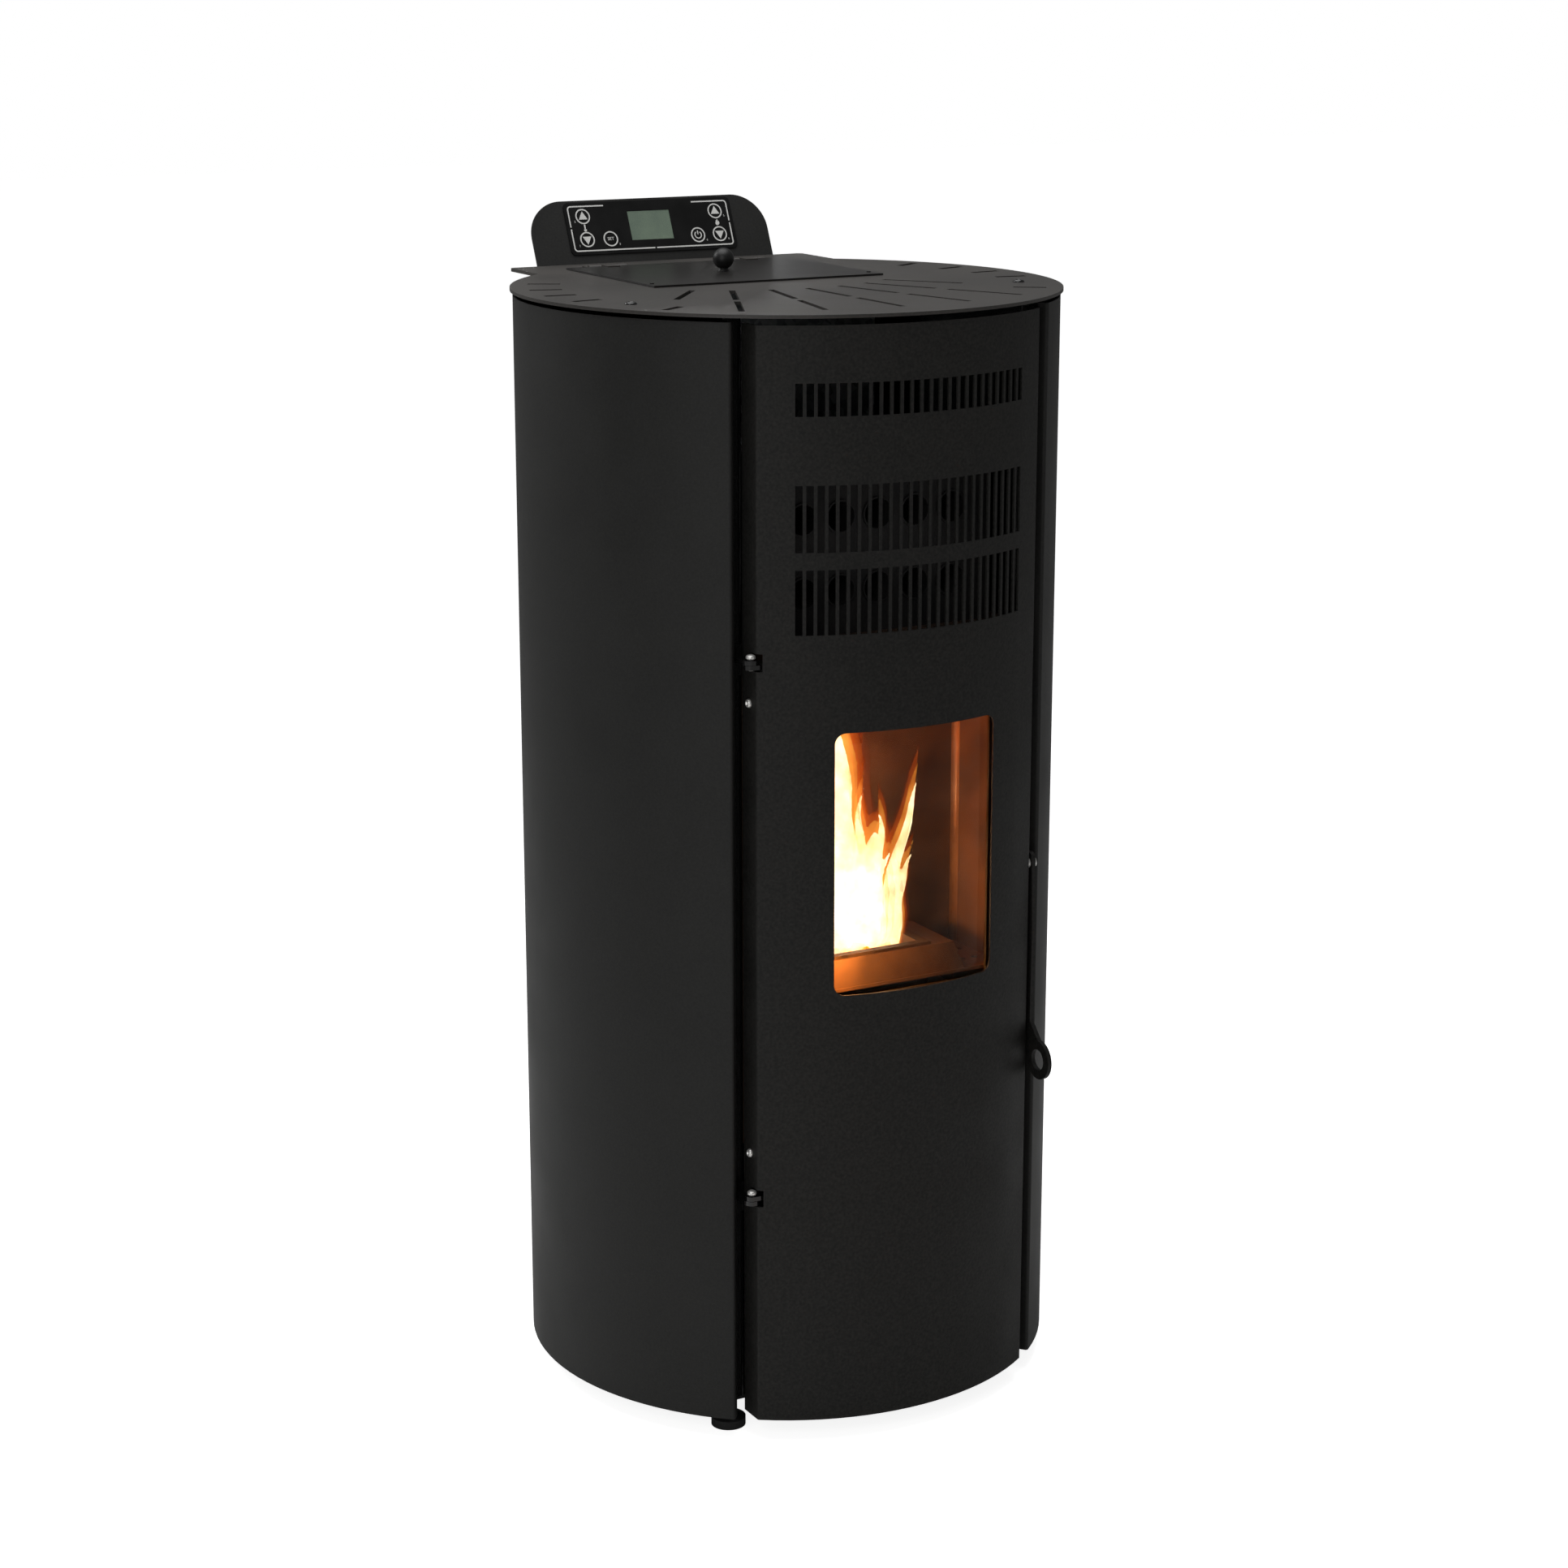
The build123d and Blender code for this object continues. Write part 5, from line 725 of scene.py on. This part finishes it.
def burningGas(name, colour, edge, glow, bright, cover):
    # burning gas glows a little all through, so thick places turn white and thin edges stay orange; its skin is a
    # thin veil of the same light, thicker and thinner in 16 mm wisps
    material, tree, out = newMaterial(name)
    place = addNode(tree, "ShaderNodeTexCoord").outputs["Object"]
    wisps = addNode(tree, "ShaderNodeTexNoise", {"Scale": 62.0, "Detail": 3.0}, {"Vector": place})
    hue = addNode(tree, "ShaderNodeValToRGB", {"stops": [(0.35, edge), (0.65, colour)]}, {"Fac": wisps.outputs["Fac"]})
    thick = addNode(tree, "ShaderNodeMapRange", {"From Min": 0.3, "From Max": 0.7, "To Min": cover * 0.3,
                                                 "To Max": cover * 1.4}, {"Value": wisps.outputs["Fac"]})
    veil = addNode(tree, "ShaderNodeEmission", {"Strength": bright}, {"Color": hue.outputs["Color"]})
    clear = addNode(tree, "ShaderNodeBsdfTransparent")
    mix = addNode(tree, "ShaderNodeMixShader", None, {0: thick.outputs["Result"], 1: clear.outputs[0],
                                                      2: veil.outputs[0]})
    tree.links.new(mix.outputs[0], out.inputs["Surface"])
    depth = addNode(tree, "ShaderNodeEmission", {"Color": linear(colour), "Strength": glow})
    tree.links.new(depth.outputs[0], out.inputs["Volume"])
    return material


def fuseShells(item, voxel):
    # crossing shells become one closed skin
    fuse = item.modifiers.new("fuse", "REMESH")
    fuse.mode, fuse.voxel_size, fuse.use_smooth_shade = "VOXEL", voxel, True
    loose = item.data
    item.data = bpy.data.meshes.new_from_object(item.evaluated_get(bpy.context.evaluated_depsgraph_get()))
    item.modifiers.clear()
    bpy.data.meshes.remove(loose)


def makeFire():
    # four nested layers of fused tongues over the burn pot
    low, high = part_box("burn_pot")
    rim = topMiddle(low, high)
    faces = cappedTubes(fire["rings"], fire["round"], len(fire["tongues"]))
    for name, wide, tall, colour, edge, glow, bright, cover in fire["gases"]:
        points = np.vstack([flameTongue(tongue, wide, tall) + rim for tongue in fire["tongues"]])
        item = newPiece(name, points, faces, burningGas(name + "Gas", colour, edge, glow, bright, cover), "pot")
        fuseShells(item, fire["voxel"] / 1000)


# pellets in the pot, in millimetres and radians: half width, half depth and depth of the cup, height and sink of the
# heap, greatest tip, and stations along a rod with their sizes as shares
embers = {"count": 150, "seed": 7, "cup": (42.0, 20.0, 12.0), "heap": 7, "heapShare": (0.2, 1), "sink": 8,
          "tip": 0.35, "length": (9.0, 17.0), "radius": 3.1, "round": 8,
          "rod": [(-1, 0.72), (-0.97, 1), (-0.4, 0.96), (0.3, 1), (0.97, 1), (1, 0.72)]}


def charredPellets():
    # pressed wood pellets, charred: dark crust with bright orange heat in patches 6 mm across
    material, tree, out = newMaterial("charredPellets")
    place = addNode(tree, "ShaderNodeTexCoord").outputs["Object"]
    heat = addNode(tree, "ShaderNodeTexNoise", {"Scale": 165.0, "Detail": 3.0}, {"Vector": place})
    crust = addNode(tree, "ShaderNodeTexNoise", {"Scale": 830.0}, {"Vector": place})
    bump = addNode(tree, "ShaderNodeBump", {"Strength": 0.6, "Distance": 0.0004}, {"Height": crust.outputs["Fac"]})
    colour = addNode(tree, "ShaderNodeValToRGB", {"stops": [(0.35, "#1b1613"), (0.65, "#5b3a22")]},
                     {"Fac": heat.outputs["Fac"]})
    glow = addNode(tree, "ShaderNodeMapRange", {"From Min": 0.35, "From Max": 0.7, "To Max": 5.0},
                   {"Value": heat.outputs["Fac"]})
    shader = addNode(tree, "ShaderNodeBsdfPrincipled", {"Roughness": 0.9, "Emission Color": linear("#ff7a1c")},
                     {"Base Color": colour.outputs["Color"], "Normal": bump.outputs["Normal"],
                      "Emission Strength": glow.outputs["Result"]})
    tree.links.new(shader.outputs["BSDF"], out.inputs["Surface"])
    return material


def emberBed(look):
    # wood pellets in the cup: short rods (an 8-sided circle carried along, its ends drawn in), laid every way and
    # heaped highest in the middle
    rng = np.random.default_rng(look["seed"])
    low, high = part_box("burn_pot")
    n = look["count"]
    halfX, halfY, deep = look["cup"]
    spot = np.stack([rng.uniform(-1, 1, n) * halfX, rng.uniform(-1, 1, n) * halfY, np.zeros(n)], axis=1)
    heap = look["heap"] * (1 - np.abs(spot[:, 0]) / halfX) * rng.uniform(*look["heapShare"], n)
    spot[:, 2] = -deep + heap - look["sink"] * rng.uniform(0, 1, n)
    turn, tip = rng.uniform(0, np.pi, n), rng.uniform(-look["tip"], look["tip"], n)
    way = np.stack([np.cos(turn) * np.cos(tip), np.sin(turn) * np.cos(tip), np.sin(tip)], axis=1)
    side = np.stack([-np.sin(turn), np.cos(turn), np.zeros(n)], axis=1)
    up = np.cross(way, side)
    half = rng.uniform(*look["length"], n) / 2
    steps, sizes = np.array(look["rod"]).T
    sizes = sizes * look["radius"]
    a = np.linspace(0, 2 * np.pi, look["round"], endpoint=False)[None, None, :, None]
    ring = side[:, None, None, :] * np.cos(a) + up[:, None, None, :] * np.sin(a)
    middle = spot[:, None, None, :] + way[:, None, None, :] * (half[:, None] * steps)[:, :, None, None]
    points = (middle + ring * sizes[None, :, None, None]).reshape(-1, 3) / 1000 + topMiddle(low, high)
    newPiece("glowingPellets", points, cappedTubes(len(steps), look["round"], n), charredPellets(), "pot")


makeFire()
emberBed(embers)
print("fire made")

# floor and pale room: half the floor's side in metres, its tones and glow, the room as a light and as it is seen
stageLook = {"floorHalf": 16.0, "floorTone": ("#f4f4f3", "#f7f7f6"), "floorGlow": 0.86, "roomLight": 0.16,
             "roomSeen": 1.0}

# lamps: place, the point that they face, width and height, watts
softLights = {"overhead": ((-0.2, 0.2, 2.9), (0, 0, 0.9), (2.2, 2.2), 44),
              "frontLeft": ((-2.6, -2.4, 1.9), (0, 0, 0.6), (1.6, 2.2), 23),
              "backLeft": ((-1.1, 1.5, 1.9), (-0.1, 0, 1.0), (0.9, 0.9), 10),
              "lidWindow": ((1.34, 2.79, 1.34), (0, 0, 1.0), (0.16, 0.24), 1.3)}

# firelight: place, radius, watts, colour
fireLights = {"flameHigh": ((-0.050, -0.150, 0.61), 0.05, 2.5, "#ff8648"),
              "flameLow": ((-0.060, -0.224, 0.462), 0.02, 2.6, "#ffa850")}


def paleFloor(look):
    # matt white floor, overexposed where it is seen as in a studio; its own glow doesn't light the stove
    material, tree, out = newMaterial("paleFloor")
    place = addNode(tree, "ShaderNodeTexCoord").outputs["Object"]
    cloud = addNode(tree, "ShaderNodeTexNoise", {"Scale": 2.5}, {"Vector": place})
    colour = addNode(tree, "ShaderNodeValToRGB", {"stops": list(zip((0.35, 0.65), look["floorTone"]))},
                     {"Fac": cloud.outputs["Fac"]})
    path = addNode(tree, "ShaderNodeLightPath")
    glow = addNode(tree, "ShaderNodeMath", {"operation": "MULTIPLY", 1: look["floorGlow"]},
                   {0: path.outputs["Is Camera Ray"]})
    shader = addNode(tree, "ShaderNodeBsdfPrincipled",
                     {"Roughness": 0.9, "Specular IOR Level": 0.1, "Emission Color": (1, 1, 1, 1)},
                     {"Base Color": colour.outputs["Color"], "Emission Strength": glow.outputs[0]})
    tree.links.new(shader.outputs["BSDF"], out.inputs["Surface"])
    half = look["floorHalf"]
    mesh = bpy.data.meshes.new("studioFloor")
    mesh.from_pydata([(-half, -half, 0), (half, -half, 0), (half, half, 0), (-half, half, 0)], [], [(0, 1, 2, 3)])
    mesh.materials.append(material)
    item = bpy.data.objects.new("studioFloor", mesh)
    scene.collection.objects.link(item)


def softLight(name, place, target, size, watts):
    # a white rectangular lamp that faces a point
    data = bpy.data.lights.new(name, "AREA")
    data.shape = "RECTANGLE"
    data.size, data.size_y = size
    data.energy = watts
    item = bpy.data.objects.new(name, data)
    item.location = place
    item.rotation_euler = (Vector(target) - Vector(place)).to_track_quat("-Z", "Y").to_euler()
    item.visible_camera = False
    scene.collection.objects.link(item)


def fireLight(name, place, radius, watts, colour):
    # the light that the flames throw on the firebox walls
    data = bpy.data.lights.new(name, "POINT")
    data.shadow_soft_size = radius
    data.energy = watts
    data.color = linear(colour)[:3]
    item = bpy.data.objects.new(name, data)
    item.location = place
    item.visible_camera = False
    item.visible_glossy = False
    scene.collection.objects.link(item)


def paleRoom(light, seen):
    # white where it is seen, dimmer as a light, so that black paint keeps its depth
    world = bpy.data.worlds.new("paleRoom")
    world.use_nodes = True
    tree = world.node_tree
    tree.nodes.clear()
    path = addNode(tree, "ShaderNodeLightPath")
    dim = addNode(tree, "ShaderNodeBackground", {"Color": (1, 1, 1, 1), "Strength": light})
    white = addNode(tree, "ShaderNodeBackground", {"Color": (1, 1, 1, 1), "Strength": seen})
    mix = addNode(tree, "ShaderNodeMixShader", None,
                  {0: path.outputs["Is Camera Ray"], 1: dim.outputs[0], 2: white.outputs[0]})
    tree.links.new(mix.outputs[0], addNode(tree, "ShaderNodeOutputWorld").inputs["Surface"])
    scene.world = world


paleFloor(stageLook)
paleRoom(stageLook["roomLight"], stageLook["roomSeen"])
for name, look in softLights.items():
    softLight(name, *look)
for name, look in fireLights.items():
    fireLight(name, *look)
scene.view_settings.view_transform = "Standard"
print("stage set")
